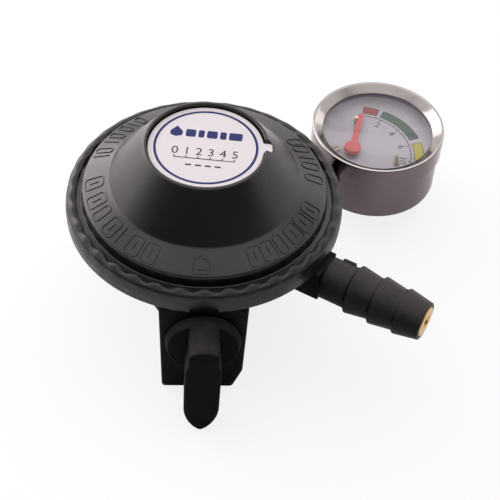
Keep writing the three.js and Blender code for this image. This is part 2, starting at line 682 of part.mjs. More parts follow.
// ---------------------------------------------------------------- hose outlet
function hoseNozzle() {
  const neck = outletBossEnd + gap;
  const profile = [[hoseBore, 30.5], [insertRadius - fit, 30.5], [insertRadius - fit, neck], [neckRadius, neck]];
  const first = neck + neckLength;
  profile.push([neckRadius, first]);
  barbRadii.forEach((radius, k) => {
    const end = k + 1 < barbRadii.length ? first + barbPitch * (k + 1) - 0.6 : outletTip;
    profile.push([radius, first + barbPitch * k + 0.7], [barbRoots[k], end]);
  });
  profile.push([insertRadius + fit, outletTip], [insertRadius + fit, outletTip - 12], [hoseBore, outletTip - 12]);
  return solid(latheAlongX(profile, outletHeight, 24));
}

const nozzleInsert = () => solid(latheAlongX([
  [insertBore, outletTip - 11.6], [insertRadius, outletTip - 11.6], [insertRadius, outletTip + 0.2],
  [insertBore + 0.5, outletTip + 0.2], [insertBore, outletTip - 0.3],
], outletHeight, 24));

// ---------------------------------------------------------------- gauge
/** Geometry about the gauge's own vertical axis, moved out to its place. */
const inGauge = (geometry) => geometry.translate(gaugeDistance, 0, 0);
/** Geometry in the dial's frame: +X towards the middle of the scale. */
const onDial = (geometry) => inGauge(geometry.rotateZ(radians(dialTurn)));
const fromPivot = (reach, angle) => [
  reach * Math.cos(radians(angle)) - pivotOffset, reach * Math.sin(radians(angle))];

function gaugeCase() {
  const inner = caseRadius - caseWall;
  const shell = lathe([
    [0, gaugeBottom], [caseRadius - 1.8, gaugeBottom], [caseRadius - 0.5, gaugeBottom + 0.5],
    [caseRadius, gaugeBottom + 1.8], [caseRadius, caseTop], [inner, caseTop],
    [inner, gaugeBottom + 2.2], [inner - 1.2, gaugeBottom + caseWall], [0, gaugeBottom + caseWall],
  ], 40);
  return cut(solid(inGauge(shell)), bar(3.8, [gaugeDistance - caseRadius - 2, 0, gaugeStemHeight],
    [gaugeDistance - caseRadius + 3, 0, gaugeStemHeight], 20));
}

function gaugeBezel() {
  const inner = caseRadius + 0.2;
  const lip = gaugeRadius - bezelLip;
  return solid(inGauge(lathe([
    [inner, gaugeRim - bezelHeight], [gaugeRadius, gaugeRim - bezelHeight],
    [gaugeRadius, gaugeRim - 0.45], [gaugeRadius - 0.25, gaugeRim - 0.05], [gaugeRadius - 0.65, gaugeRim],
    [lip, gaugeRim - bezelSlope], [lip, gaugeRim - bezelSlope - 0.35], [inner, gaugeRim - bezelSlope - 0.35],
  ], 48)));
}

const gaugeWindow = () => solid(inGauge(bar(caseRadius - 0.3, [0, 0, caseTop + 0.2],
  [0, 0, caseTop + 0.2 + windowThickness], 48)));

function gaugeDial() {
  const disc = inGauge(bar(caseRadius - caseWall - gap, [0, 0, dialTop - dialThickness], [0, 0, dialTop], 48));
  return cut(solid(disc), onDial(bar(1.1, [-pivotOffset, 0, dialTop - 2], [-pivotOffset, 0, dialTop + 1], 12)));
}

function gaugePointer() {
  const height = dialTop + 1.1;
  const shape = new THREE.Shape();
  shape.moveTo(0, -0.85);
  shape.lineTo(pointerLength - 0.75, -0.75);
  shape.absarc(pointerLength - 0.75, 0, 0.75, -Math.PI / 2, Math.PI / 2, false);
  shape.lineTo(0, 0.85);
  const blade = new THREE.ExtrudeGeometry(shape, { depth: 0.5, bevelEnabled: false, curveSegments: 5 })
    .translate(0, 0, height);
  const hub = bar(pointerHub, [0, 0, height], [0, 0, height + 0.9], 28);
  const hole = bar(0.65, [0, 0, height - 1], [0, 0, height + 0.6], 10);
  const put = (geometry) => onDial(geometry.rotateZ(radians(sweepHalf)).translate(-pivotOffset, 0, 0));
  return cut(solid(put(blade)).add(solid(put(hub))), put(hole));
}

/** Pointer's arbor, with the crank below the bridge that the link turns. */
function pointerArbor() {
  const crankLevel = gaugeStemHeight + 0.8;
  const pin = [gaugeCrank * Math.cos(radians(sweepHalf)), gaugeCrank * Math.sin(radians(sweepHalf))];
  const body = join(
    bar(0.55, [0, 0, crankLevel], [0, 0, dialTop + 1.5], 10),
    bar(gaugeCrank + 0.7, [0, 0, crankLevel], [0, 0, crankLevel + 0.6], 20),
    bar(0.35, [...pin, crankLevel - 1.3], [...pin, crankLevel + 0.3], 8));
  return body;
}

const pivotInGauge = () => [
  gaugeDistance - pivotOffset * Math.cos(radians(dialTurn)), -pivotOffset * Math.sin(radians(dialTurn))];

function gaugeLink() {
  const [x, y] = pivotInGauge();
  const level = gaugeStemHeight - 0.1;
  const middle = x + gaugeCrank * (1 + Math.cos(radians(sweepHalf))) / 2;
  const pinAt = y + gaugeCrank * Math.sin(radians(sweepHalf));
  const slot = gaugeCrank * (1 - Math.cos(radians(sweepHalf))) / 2 + 0.5;
  return cut(join(
    block([middle - 1.2, -bourdonRadius + 1, level], [middle + 1.2, pinAt + 1.2, level + 0.5])),
  block([middle - slot, pinAt - 0.45, level - 1], [middle + slot, pinAt + 0.45, level + 1]),
  bar(0.45, [middle, -bourdonRadius + 2.2, level - 1], [middle, -bourdonRadius + 2.2, level + 1], 8));
}

/** Brass stem: thread in the regulator's boss, hexagon, and the block that carries the tube. */
function gaugeStem() {
  const caseSide = gaugeDistance - caseRadius;
  return cut(join(
    bar(stemThread, [19, 0, gaugeStemHeight], [28, 0, gaugeStemHeight], 24),
    bar(stemHex / Math.sqrt(3), [27.7, 0, gaugeStemHeight], [36, 0, gaugeStemHeight], 6),
    bar(3.6, [35, 0, gaugeStemHeight], [caseSide + 3, 0, gaugeStemHeight], 24),
    block([caseSide + 1.6, -4.2, gaugeStemHeight - 5], [caseSide + 7.4, 4.2, gaugeStemHeight + 1.8]),
  ), bar(1, [18, 0, gaugeStemHeight], [caseSide + 5, 0, gaugeStemHeight], 10));
}

const gaugeWasher = () => solid(latheAlongX([
  [stemThread + 0.15, 26.2], [7, 26.2], [7, 27.4], [stemThread + 0.15, 27.4]], gaugeStemHeight, 28));

class Sweep extends THREE.Curve {
  constructor(radius, from, span, height) {
    super();
    Object.assign(this, { radius, from, span, height });
  }

  getPoint(t, target = new THREE.Vector3()) {
    const angle = radians(this.from - this.span * t);
    return target.set(this.radius * Math.cos(angle), this.radius * Math.sin(angle), this.height);
  }
}

const bourdonTube = () => solid(inGauge(tube(
  new Sweep(bourdonRadius, bourdonStart, bourdonSpan, gaugeStemHeight - 2.3), [2, 0.8], 22, 8)));

function gaugeBridge() {
  const under = gaugeStemHeight + 1.8 + gap;
  const [x, y] = pivotInGauge();
  const plate = block([gaugeDistance - caseRadius + 3.4, -7, under], [x + 14, 7, under + 0.9]);
  return cut(solid(plate), bar(0.7, [x, y, under - 1], [x, y, under + 2], 12));
}

const stopPin = () => join(
  onDial(bar(0.4, [...fromPivot(stopPinReach, sweepHalf + 6.2), dialTop + seam],
    [...fromPivot(stopPinReach, sweepHalf + 6.2), dialTop + 2.4], 10)),
  onDial(bar(0.62, [...fromPivot(stopPinReach, sweepHalf + 6.2), dialTop + 2.2],
    [...fromPivot(stopPinReach, sweepHalf + 6.2), dialTop + 2.75], 12)));

const limitPost = () => join(
  onDial(bar(1.05, [...fromPivot(limitPostReach, -sweepHalf - limitPostLead), dialTop + seam],
    [...fromPivot(limitPostReach, -sweepHalf - limitPostLead), dialTop + 0.5], 16)),
  onDial(bar(0.55, [...fromPivot(limitPostReach, -sweepHalf - limitPostLead), dialTop + 0.4],
    [...fromPivot(limitPostReach, -sweepHalf - limitPostLead), dialTop + 2.5], 12)));

const dialScrew = () => cut(
  solid(onDial(bar(1.2, [-12.3, 3.2, dialTop + seam], [-12.3, 3.2, dialTop + 0.75], 18))),
  onDial(block([-14, 3.0, dialTop + 0.4], [-11, 3.4, dialTop + 1])));

// ---------------------------------------------------------------- assembly
const regulator = new THREE.Group();

piece(regulator, 'lower_body', lowerBody(), materials.black);
piece(regulator, 'clamp_ring', clampRing(), materials.black);
piece(regulator, 'bonnet', bonnet(), materials.black);
piece(regulator, 'label_disc', labelDisc(), materials.white);
piece(regulator, 'adjusting_plug', adjustingPlug(), materials.alloy);
piece(regulator, 'main_spring', mainSpring(), materials.steel);
piece(regulator, 'diaphragm', diaphragm(), materials.rubber);
piece(regulator, 'diaphragm_plate', diaphragmPlate(), materials.steel);
piece(regulator, 'socket_bush', socketBush(), materials.brass);
piece(regulator, 'lock_sleeve', lockSleeve(), materials.steel);
piece(regulator, 'plunger', plunger(), materials.brass);
piece(regulator, 'plunger_o_ring', plungerRing(), materials.rubber);
piece(regulator, 'drive_collar', driveCollar(), materials.brass);
piece(regulator, 'inlet_seal', inletSeal(), materials.rubber);
ballAngles().forEach((angle, k) => {
  piece(facing(regulator, angle), `lock_ball_${k + 1}`, lockBall(), materials.steel);
});

const valve = facing(regulator, leverAzimuth);
piece(valve, 'diaphragm_stem', diaphragmStem(), materials.alloy);
piece(valve, 'orifice_nozzle', orificeNozzle(), materials.brass);
const pivot = new THREE.Group();
pivot.position.set(leverArm, 0, leverHeight);
pivot.rotation.y = -leverTurn;
valve.add(pivot);
piece(pivot, 'valve_lever', valveLever(), materials.steel);
piece(pivot, 'lever_pin', leverPin(), materials.steel);
piece(pivot, 'seat_carrier', seatCarrier(), materials.alloy);
piece(pivot, 'seat_disc', seatDisc(), materials.rubber);

const front = facing(regulator, knobAzimuth);
piece(front, 'handle', handle(), materials.black);
piece(front, 'switch_shaft', switchShaft(), materials.steel);
piece(front, 'shaft_o_ring', shaftRing(), materials.rubber);
piece(front, 'shaft_pin', shaftPin(), materials.steel);

const outlet = facing(regulator, outletAzimuth);
piece(outlet, 'hose_nozzle', hoseNozzle(), materials.black);
piece(outlet, 'nozzle_insert', nozzleInsert(), materials.brass);

const gauge = facing(regulator, gaugeAzimuth);
piece(gauge, 'gauge_case', gaugeCase(), materials.chrome);
piece(gauge, 'gauge_bezel', gaugeBezel(), materials.chrome);
piece(gauge, 'gauge_window', gaugeWindow(), materials.glass);
piece(gauge, 'gauge_dial', gaugeDial(), materials.white);
piece(gauge, 'gauge_pointer', gaugePointer(), materials.red);
piece(gauge, 'gauge_link', gaugeLink(), materials.brass);
piece(gauge, 'gauge_stem', gaugeStem(), materials.brass);
piece(gauge, 'gauge_washer', gaugeWasher(), materials.alloy);
piece(gauge, 'bourdon_tube', bourdonTube(), materials.brass);
piece(gauge, 'gauge_bridge', gaugeBridge(), materials.brass);
piece(gauge, 'stop_pin', stopPin(), materials.brass);
piece(gauge, 'limit_post', limitPost(), materials.brass);
piece(gauge, 'dial_screw', dialScrew(), materials.brass);
const arborPlace = new THREE.Group();
arborPlace.position.set(...pivotInGauge(), 0);
gauge.add(arborPlace);
piece(arborPlace, 'pointer_arbor', pointerArbor(), materials.steel);

// the origin is under the middle of the whole assembly, on the plane that it stands on
const extent = new THREE.Box3().setFromObject(regulator, true);
const middle = extent.getCenter(new THREE.Vector3());
regulator.position.set(-middle.x, -middle.y, -extent.min.z);

const part = new THREE.Group();
part.add(regulator);
export default part;
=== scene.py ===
"""Gas regulator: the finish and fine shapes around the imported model.

Shapes are worked out in millimetres on numpy grids and turned into metres when a mesh is made. The
regulator's own axis is vertical; the knob, the hose tail and the gauge each have a frame of their own.
"""

import json
import math

import bmesh
import bpy
import numpy as np
from bpy.props import FloatProperty, FloatVectorProperty, IntProperty, PointerProperty
from mathutils import Matrix, Vector


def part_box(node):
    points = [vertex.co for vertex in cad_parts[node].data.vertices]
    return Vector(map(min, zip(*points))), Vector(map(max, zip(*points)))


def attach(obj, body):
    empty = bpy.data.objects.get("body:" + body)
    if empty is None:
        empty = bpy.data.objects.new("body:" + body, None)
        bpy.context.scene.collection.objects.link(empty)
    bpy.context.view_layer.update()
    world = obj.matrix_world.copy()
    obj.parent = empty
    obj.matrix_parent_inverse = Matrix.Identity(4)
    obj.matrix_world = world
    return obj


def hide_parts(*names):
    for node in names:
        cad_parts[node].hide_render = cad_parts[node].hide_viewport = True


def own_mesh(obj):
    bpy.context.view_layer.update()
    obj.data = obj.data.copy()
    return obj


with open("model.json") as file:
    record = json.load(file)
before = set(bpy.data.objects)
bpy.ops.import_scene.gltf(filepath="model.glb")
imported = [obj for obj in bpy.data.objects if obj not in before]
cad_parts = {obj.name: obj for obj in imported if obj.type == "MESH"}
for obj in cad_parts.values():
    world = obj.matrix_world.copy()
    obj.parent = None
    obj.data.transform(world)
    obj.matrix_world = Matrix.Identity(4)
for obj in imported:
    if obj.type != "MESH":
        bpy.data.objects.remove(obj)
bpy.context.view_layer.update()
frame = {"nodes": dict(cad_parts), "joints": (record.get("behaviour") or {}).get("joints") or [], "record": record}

bl_info = {
    "name": "Gas Regulator Finish",
    "version": (1, 0, 0),
    "blender": (4, 5, 0),
    "location": "View3D > Sidebar > Regulator",
    "description": "Builds the outer shapes, finishes and stage of a low-pressure gas regulator",
    "category": "Object",
}

MM = 0.001

# ---------------------------------------------------------------- places taken from the frame


def box_mm(node):
    """Lowest and highest corner of a CAD node, in millimetres."""
    return [np.array(corner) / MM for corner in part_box(node)]


def joint_place(name):
    """The point on a hinge's axis, in millimetres."""
    found = next(joint for joint in frame["joints"] if joint["name"] == name)
    return np.array(found["pos_m"]) / MM


RING_LOW, RING_HIGH = box_mm("clamp_ring")
BONNET_LOW, BONNET_HIGH = box_mm("bonnet")
LABEL_HIGH = box_mm("label_disc")[1]
HANDLE_LOW, HANDLE_HIGH = box_mm("handle")
BODY_LOW = box_mm("lower_body")[0]
BEZEL_LOW, BEZEL_HIGH = box_mm("gauge_bezel")
CASE_LOW, CASE_HIGH = box_mm("gauge_case")
WINDOW_LOW, WINDOW_HIGH = box_mm("gauge_window")
DIAL_LOW, DIAL_HIGH = box_mm("gauge_dial")
POINTER_LOW = box_mm("gauge_pointer")[0]

AXIS = np.append(((BONNET_LOW + BONNET_HIGH) / 2)[:2], 0.0)
UP = np.array([0.0, 0.0, 1.0])
KNOB = joint_place("knob_turn")
PIVOT = joint_place("pointer_turn")
GAUGE = np.append(((BEZEL_LOW + BEZEL_HIGH) / 2)[:2], 0.0)
TAIL_MOUNT = next(m for m in frame["record"]["mounts"] if m["name"] == "hose_end")
TAIL_WAY = np.array(TAIL_MOUNT["axis"])
TAIL_TIP = float(np.dot(np.array(TAIL_MOUNT["pos_m"]) / MM - AXIS, TAIL_WAY))
TAIL_HEIGHT = float(np.mean([corner[2] for corner in box_mm("hose_nozzle")]))
BLOCK_FACE = AXIS[1] - HANDLE_HIGH[1] - 0.3
HANDLE_FRONT = AXIS[1] - HANDLE_LOW[1]

# ---------------------------------------------------------------- sizes and colours


def length(name, words, value):
    """A length in millimetres that a user can change."""
    return FloatProperty(name=name, description=words, default=value * MM, unit="LENGTH", precision=5)


def colour(name, words, value):
    """A linear colour that a user can change."""
    return FloatVectorProperty(name=name, description=words, default=value, size=3, subtype="COLOR",
                               min=0.0, max=1.0)


class RegulatorSizes(bpy.types.PropertyGroup):
    """Sizes that shape the new pieces."""

    cone_foot: length("Cone foot", "Radius where the skirt meets the cone", 26.0)
    skirt_wall: length("Skirt wall", "Radius of the skirt's upright edge", 33.3)
    lip_radius: length("Lip", "Outer radius of the lip around the label", 16.7)
    scallop_depth: length("Scallop depth", "How far the crimp presses the ring's inner edge", 0.8)
    scallops: IntProperty(name="Scallops", description="Crimps around the ring", default=36, min=3)
    mark_height: length("Mark height", "How far the skirt's marks stand up", 0.2)
    mark_width: length("Mark width", "Width of a mark's line", 0.36)
    handle_width: length("Handle width", "Width of the handle's foot at the back", 9.7)
    handle_neck: length("Handle neck", "Width of the handle beside the disc", 8.3)
    knob_radius: length("Knob radius", "Radius of the disc behind the handle", 10.35)
    label_ring: length("Label ring", "Radius of the printed ring", 13.6)
    bezel_lip: length("Bezel lip", "Width of the bezel's sloping lip", 3.3)


class RegulatorColours(bpy.types.PropertyGroup):
    """Colours of the finishes, linear."""

    paint: colour("Paint", "Black paint of the castings", (0.0052, 0.0042, 0.0048))
    # painted sheen: a lighter colour laid on upward faces, standing in for the light that falls on them from above
    film: colour("Film", "Thin haze on upward faces", (0.046, 0.043, 0.042))
    plastic: colour("Plastic", "Black plastic of the handle and tail", (0.0048, 0.0040, 0.0048))
    label: colour("Label", "White of the label", (0.70, 0.68, 0.70))
    ink_blue: colour("Blue ink", "Printed ring and mark", (0.012, 0.018, 0.125))
    ink_dark: colour("Dark ink", "Small print", (0.035, 0.035, 0.045))
    # painted highlight: this bright colour is laid only on the bezel's upward faces, standing in for the light
    # that they reflect
    chrome: colour("Chrome", "Bright plating", (0.44, 0.42, 0.405))
    # painted shade: the plating's colour is darkened to stand in for the dark surroundings that the case and the
    # bezel's sides reflect
    case: colour("Case", "Hazy plating of the gauge's case", (0.18, 0.155, 0.165))
    dial: colour("Dial", "Enamel of the dial", (0.62, 0.60, 0.66))
    pointer: colour("Pointer", "Enamel of the pointer", (0.80, 0.07, 0.065))
    red: colour("Red band", "First band of the dial", (0.43, 0.03, 0.04))
    green: colour("Green band", "Second band of the dial", (0.05, 0.12, 0.075))
    yellow: colour("Yellow band", "Third band of the dial", (0.62, 0.54, 0.045))
    brass: colour("Brass", "Turned brass", (0.66, 0.44, 0.16))
    steel: colour("Steel", "Turned or pressed steel", (0.50, 0.50, 0.49))
    rubber: colour("Rubber", "Seals and diaphragm", (0.018, 0.018, 0.018))
    pin: colour("Pins", "Dull brass of the dial's pins", (0.50, 0.42, 0.31))


def size(name):
    """A size from the scene's settings, in millimetres."""
    return getattr(bpy.context.scene.regulator_sizes, name) / MM


def ink(name):
    """A colour from the scene's settings, with alpha."""
    return (*getattr(bpy.context.scene.regulator_colours, name), 1.0)


# ---------------------------------------------------------------- outlines


def rounded(corners, radii, steps=5, closed=True):
    """Corners joined by straight lines, each corner turned into an arc that touches both its sides.
    radii is one radius or one for each corner."""
    corners = np.asarray(corners, float)
    radii = np.broadcast_to(radii, len(corners))
    points = []
    for k, (corner, radius) in enumerate(zip(corners, radii)):
        at_end = not closed and k in (0, len(corners) - 1)
        before = corners[k - 1] - corner
        after = corners[(k + 1) % len(corners)] - corner
        if radius <= 0 or at_end:
            points.append(corner)
            continue
        reach_before, reach_after = np.linalg.norm(before), np.linalg.norm(after)
        before, after = before / reach_before, after / reach_after
        half = 0.5 * math.acos(float(np.clip(np.dot(before, after), -1, 1)))
        if half > 1.55:
            points.append(corner)
            continue
        reach = min(radius / math.tan(half), 0.48 * reach_before, 0.48 * reach_after)
        radius = reach * math.tan(half)
        middle = before + after
        centre = corner + middle / np.linalg.norm(middle) * radius / math.sin(half)
        first, last = corner + before * reach - centre, corner + after * reach - centre
        sweep = math.pi - 2 * half
        for t in np.linspace(0, 1, steps + 1):
            points.append(centre + (math.sin((1 - t) * sweep) * first + math.sin(t * sweep) * last)
                          / math.sin(sweep))
    return np.array(points)


def dense(points, step, closed=True):
    """The same outline with no stretch longer than step."""
    ends = np.vstack([points, points[:1]]) if closed else points
    parts = []
    for a, b in zip(ends[:-1], ends[1:]):
        count = max(1, int(np.ceil(np.linalg.norm(b - a) / step)))
        parts.append(a + (b - a) * np.arange(count)[:, None] / count)
    if not closed:
        parts.append(points[-1:])
    return np.vstack(parts)


def smooth(t):
    """0 below 0, 1 above 1, and the curve 3t^2 - 2t^3 between."""
    t = np.clip(t, 0, 1)
    return t * t * (3 - 2 * t)


# ---------------------------------------------------------------- surfaces


def skin(sections, start=None, end=None):
    """A closed surface through sections, an array of loops x points x 3. Each loop closes on itself.
    With start and end, those poles close the two ends; with neither, the last loop joins the first."""
    rows, columns = sections.shape[:2]
    points = sections.reshape(-1, 3)
    j = np.arange(columns)
    after = (j + 1) % columns
    count = rows if start is None else rows - 1
    i = np.arange(count)[:, None]
    nxt = (i + 1) % rows
    quads = np.stack([i * columns + j, i * columns + after, nxt * columns + after, nxt * columns + j], -1)
    quads = quads.reshape(-1, 4)
    triangles = np.zeros((0, 3), int)
    if start is not None:
        low, high = len(points), len(points) + 1
        last = (rows - 1) * columns
        points = np.vstack([points, start, end])
        triangles = np.vstack([
            np.stack([np.full(columns, low), after, j], -1),
            np.stack([np.full(columns, high), last + j, last + after], -1)])
    return points, quads, triangles


def turned(profile, columns=96):
    """A body of revolution about Z: each profile point (radius, height) is carried round a circle.
    A profile that starts and ends on the axis gets poles there; any other closes on itself."""
    profile = np.asarray(profile, float)
    on_axis = profile[0, 0] < 1e-9 and profile[-1, 0] < 1e-9
    ring = profile[1:-1] if on_axis else profile
    angle = 2 * math.pi * np.arange(columns) / columns
    sections = np.empty((len(ring), columns, 3))
    sections[..., 0] = ring[:, :1] * np.cos(angle)
    sections[..., 1] = ring[:, :1] * np.sin(angle)
    sections[..., 2] = ring[:, 1:]
    if on_axis:
        return skin(sections, (0, 0, profile[0, 1]), (0, 0, profile[-1, 1]))
    return skin(sections)


def lathe(corners, radii, columns, steps=6, step=None, closed=True):
    """A body turned from corners (radius, height) with rounded edges, in stretches of at most step."""
    profile = rounded(corners, radii, steps, closed)
    return turned(profile if step is None else dense(profile, step, closed), columns)


def plate(outline, low, high, bevel=0.0, centre=(0.0, 0.0)):
    """A flat plate from a star-shaped outline: foot, side, bevelled edge and top as four loops that
    shrink towards the centre, closed by a pole below and above."""
    outline = np.asarray(outline, float)
    centre = np.asarray(centre, float)
    reach = np.linalg.norm(outline - centre, axis=1, keepdims=True)
    inner = centre + (outline - centre) * (1 - bevel / np.maximum(reach, 1e-6))
    loops = [(outline, low), (outline, high - bevel), (inner, high)]
    sections = np.stack([np.column_stack([loop, np.full(len(loop), height)]) for loop, height in loops])
    return skin(sections, (*centre, low), (*centre, high))


def swept(path, section, frame_of, closed):
    """A section (sideways, up) carried along a path, where frame_of turns a path point and the
    sideways direction into space. Closed paths join up; open ones end in poles."""
    ahead = np.roll(path, -1, axis=0) - np.roll(path, 1, axis=0)
    if not closed:
        ahead[0], ahead[-1] = path[1] - path[0], path[-1] - path[-2]
    ahead /= np.linalg.norm(ahead, axis=1, keepdims=True)
    side = np.column_stack([-ahead[:, 1], ahead[:, 0]])
    flat = path[:, None, :] + side[:, None, :] * section[None, :, :1]
    sections = frame_of(flat, np.broadcast_to(section[None, :, 1], flat.shape[:2]))
    if closed:
        return skin(sections)
    return skin(sections, sections[0].mean(0), sections[-1].mean(0))


def joined(*surfaces):
    """Several closed surfaces as one."""
    points, quads, triangles, offset = [], [], [], 0
    for p, q, t in surfaces:
        points.append(p)
        quads.append(q + offset)
        triangles.append(t + offset)
        offset += len(p)
    return np.vstack(points), np.vstack(quads), np.vstack(triangles)


def facing_out(surface):
    """The surface with its faces turned outward, judged by the sign of its volume."""
    points, quads, triangles = surface
    corners = np.vstack([quads[:, [0, 1, 2]], quads[:, [0, 2, 3]], triangles])
    a, b, c = (points[corners[:, k]] for k in range(3))
    if np.einsum("ij,ij->i", a, np.cross(b, c)).sum() < 0:
        return points, quads[:, ::-1], triangles[:, ::-1]
    return surface


def moved(surface, origin, x_way, y_way, z_way):
    """The surface with its own axes laid along three directions from an origin."""
    points, quads, triangles = surface
    return facing_out((origin + points @ np.array([x_way, y_way, z_way]), quads, triangles))


def upright(surface, origin=AXIS):
    """The surface about a vertical axis at origin."""
    return moved(surface, np.asarray(origin), (1, 0, 0), (0, 1, 0), UP)


def outward(surface, way, height):
    """The surface with its Z laid outward along way, its X up, at a height on the regulator's axis."""
    side = np.cross(way, UP)
    return moved(surface, AXIS + UP * height, UP, -side, way)


def placed(name, data):
    """A new object for the data, in the scene."""
    made = bpy.data.objects.new(name, data)
    bpy.context.scene.collection.objects.link(made)
    return made


def dressed(name, mesh, material, body, slot, replaced, crease):
    """The mesh as an object, smooth but for edges sharper than crease degrees, with its material and body,
    hiding the CAD nodes that it stands for. The slot is not used."""
    mesh.polygons.foreach_set("use_smooth", np.ones(len(mesh.polygons), bool))
    mesh.set_sharp_from_angle(angle=math.radians(crease))
    mesh.materials.append(material)
    made = placed(name, mesh)
    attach(made, body)
    if replaced:
        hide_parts(*replaced)
    return made


def piece(name, surface, material, body, slot, *replaced, crease=32):
    """Makes the mesh of a surface, in metres, and dresses it."""
    points, quads, triangles = surface
    mesh = bpy.data.meshes.new(name)
    mesh.from_pydata((points * MM).tolist(), [], quads.tolist() + triangles.tolist())
    mesh.validate()
    return dressed(name, mesh, material, body, slot, replaced, crease)


MERGE, FLAT, SHARP = 0.02, 1.5, 38  # mm, and two angles between faces in degrees


def eased(name, node, material, body, slot, bevel=0.0, chosen=None):
    """A copy of a CAD node with merged points and flat faces joined. With a bevel, its sharp edges are
    rounded where chosen(first end, second end), given in millimetres, is true."""
    mesh = frame["nodes"][node].data.copy()
    mesh.name = name
    work = bmesh.new()
    work.from_mesh(mesh)
    bmesh.ops.remove_doubles(work, verts=work.verts, dist=MERGE * MM)
    bmesh.ops.dissolve_limit(work, angle_limit=math.radians(FLAT), verts=work.verts, edges=work.edges)
    weight = work.edges.layers.float.new("bevel_weight_edge")
    for edge in work.edges if bevel else ():
        sharp = len(edge.link_faces) == 2 and edge.calc_face_angle(0.0) > math.radians(SHARP)
        if sharp and chosen(*(np.array(vertex.co) / MM for vertex in edge.verts)):
            edge[weight] = 1.0
    work.to_mesh(mesh)
    work.free()
    mesh.materials.clear()
    made = dressed(name, mesh, material, body, slot, (node,), SHARP)
    if bevel:
        edge = made.modifiers.new("eased edges", "BEVEL")
        edge.width = bevel * MM
        edge.segments = 4
        edge.limit_method = "WEIGHT"
        edge.use_clamp_overlap = False
    return made


# ---------------------------------------------------------------- shader groups


BLACK, WHITE = (0.0, 0.0, 0.0, 1.0), (1.0, 1.0, 1.0, 1.0)


def add(tree, kind, values=(), **settings):
    """A shader node of this kind, its settings made first and then its sockets' values."""
    node = tree.nodes.new("ShaderNode" + kind)
    for name, setting in settings.items():
        setattr(node, name, setting)
    for socket, value in dict(values).items():
        node.inputs[socket].default_value = value
    return node


def wire(tree, *runs):
    """Links, each given as a node, its output, and the node and the input that it feeds."""
    for source, output, target, entry in runs:
        tree.links.new(source.outputs[output], target.inputs[entry])


def new_group(name, inputs, outputs):
    """An empty shader group with its sockets, and its input and output nodes."""
    tree = bpy.data.node_groups.new(name, "ShaderNodeTree")
    for label, kind, value in inputs:
        socket = tree.interface.new_socket(name=label, in_out="INPUT", socket_type="NodeSocket" + kind)
        if value is not None:
            socket.default_value = value
    for label, kind in outputs:
        tree.interface.new_socket(name=label, in_out="OUTPUT", socket_type="NodeSocket" + kind)
    return tree, tree.nodes.new("NodeGroupInput"), tree.nodes.new("NodeGroupOutput")


def mottle_group():
    """Mask: soft noise in object space, stretched to fill 0 to 1."""
    tree, given, out = new_group(
        "mottle", [("Position", "Vector", None), ("Scale", "Float", 60.0)], [("Mask", "Float")])
    noise = add(tree, "TexNoise", {"Detail": 4.0, "Roughness": 0.6})
    stretch = add(tree, "MapRange", {"From Min": 0.32, "From Max": 0.68})
    wire(tree, (given, "Position", noise, "Vector"), (given, "Scale", noise, "Scale"),
         (noise, "Fac", stretch, "Value"), (stretch, "Result", out, "Mask"))
    return tree


def haze_group():
    """Colour: the base, with a painted sheen laid on faces that look up, a lighter colour that stands in
    for light from above, thicker where the mask is high. The share of sheen is amount x
    (0.55 + 0.45 mask) x smoothstep of the normal's upward part."""
    tree, given, out = new_group(
        "sheen_paint", [("Base", "Color", BLACK), ("Film", "Color", BLACK), ("Amount", "Float", 1.0),
                 ("Mask", "Float", 0.5)], [("Colour", "Color")])
    geometry, split = add(tree, "NewGeometry"), add(tree, "SeparateXYZ")
    rise = add(tree, "MapRange", {"From Min": 0.25, "From Max": 0.97}, interpolation_type="SMOOTHSTEP")
    patch = add(tree, "Math", {1: 0.45, 2: 0.55}, operation="MULTIPLY_ADD")
    share, total = (add(tree, "Math", operation="MULTIPLY") for _ in range(2))
    mix = add(tree, "Mix", data_type="RGBA")
    wire(tree, (geometry, "Normal", split, "Vector"), (split, "Z", rise, "Value"),
         (given, "Mask", patch, 0), (rise, "Result", share, 0), (patch, 0, share, 1),
         (share, 0, total, 0), (given, "Amount", total, 1), (total, 0, mix, "Factor"),
         (given, "Base", mix, "A"), (given, "Film", mix, "B"), (mix, "Result", out, "Colour"))
    return tree


def tint_group():
    """Colour: the base times 1 - spread at mask 0, up to times 1 + spread at mask 1."""
    tree, given, out = new_group(
        "tint", [("Base", "Color", BLACK), ("Mask", "Float", 0.5), ("Spread", "Float", 0.1)],
        [("Colour", "Color")])
    double = add(tree, "Math", {1: 2.0, 2: -1.0}, operation="MULTIPLY_ADD")
    gain = add(tree, "Math", {2: 1.0}, operation="MULTIPLY_ADD")
    scale = add(tree, "VectorMath", operation="SCALE")
    wire(tree, (given, "Mask", double, 0), (double, 0, gain, 0), (given, "Spread", gain, 1),
         (given, "Base", scale, 0), (gain, 0, scale, "Scale"), (scale, 0, out, "Colour"))
    return tree


def streak_group():
    """Mask: noise stretched round the Z axis through a centre, as turning or buffing leaves it."""
    tree, given, out = new_group(
        "streak", [("Position", "Vector", None), ("Centre", "Vector", (0, 0, 0)),
                   ("Scale", "Float", 700.0)], [("Mask", "Float")])
    from_centre = add(tree, "VectorMath", operation="SUBTRACT")
    radius = add(tree, "VectorMath", operation="LENGTH")
    split, flat, rings = (add(tree, kind) for kind in ("SeparateXYZ", "CombineXYZ", "CombineXYZ"))
    noise = add(tree, "TexNoise", {"Detail": 3.0})
    wire(tree, (given, "Position", from_centre, 0), (given, "Centre", from_centre, 1),
         (from_centre, 0, split, "Vector"), (split, "X", flat, "X"), (split, "Y", flat, "Y"),
         (flat, "Vector", radius, 0), (radius, "Value", rings, "X"), (split, "Z", rings, "Y"),
         (rings, "Vector", noise, "Vector"), (given, "Scale", noise, "Scale"), (noise, "Fac", out, "Mask"))
    return tree


GROUP_MAKERS = {"mottle": mottle_group, "sheen_paint": haze_group, "tint": tint_group, "streak": streak_group}
GROUPS = {}


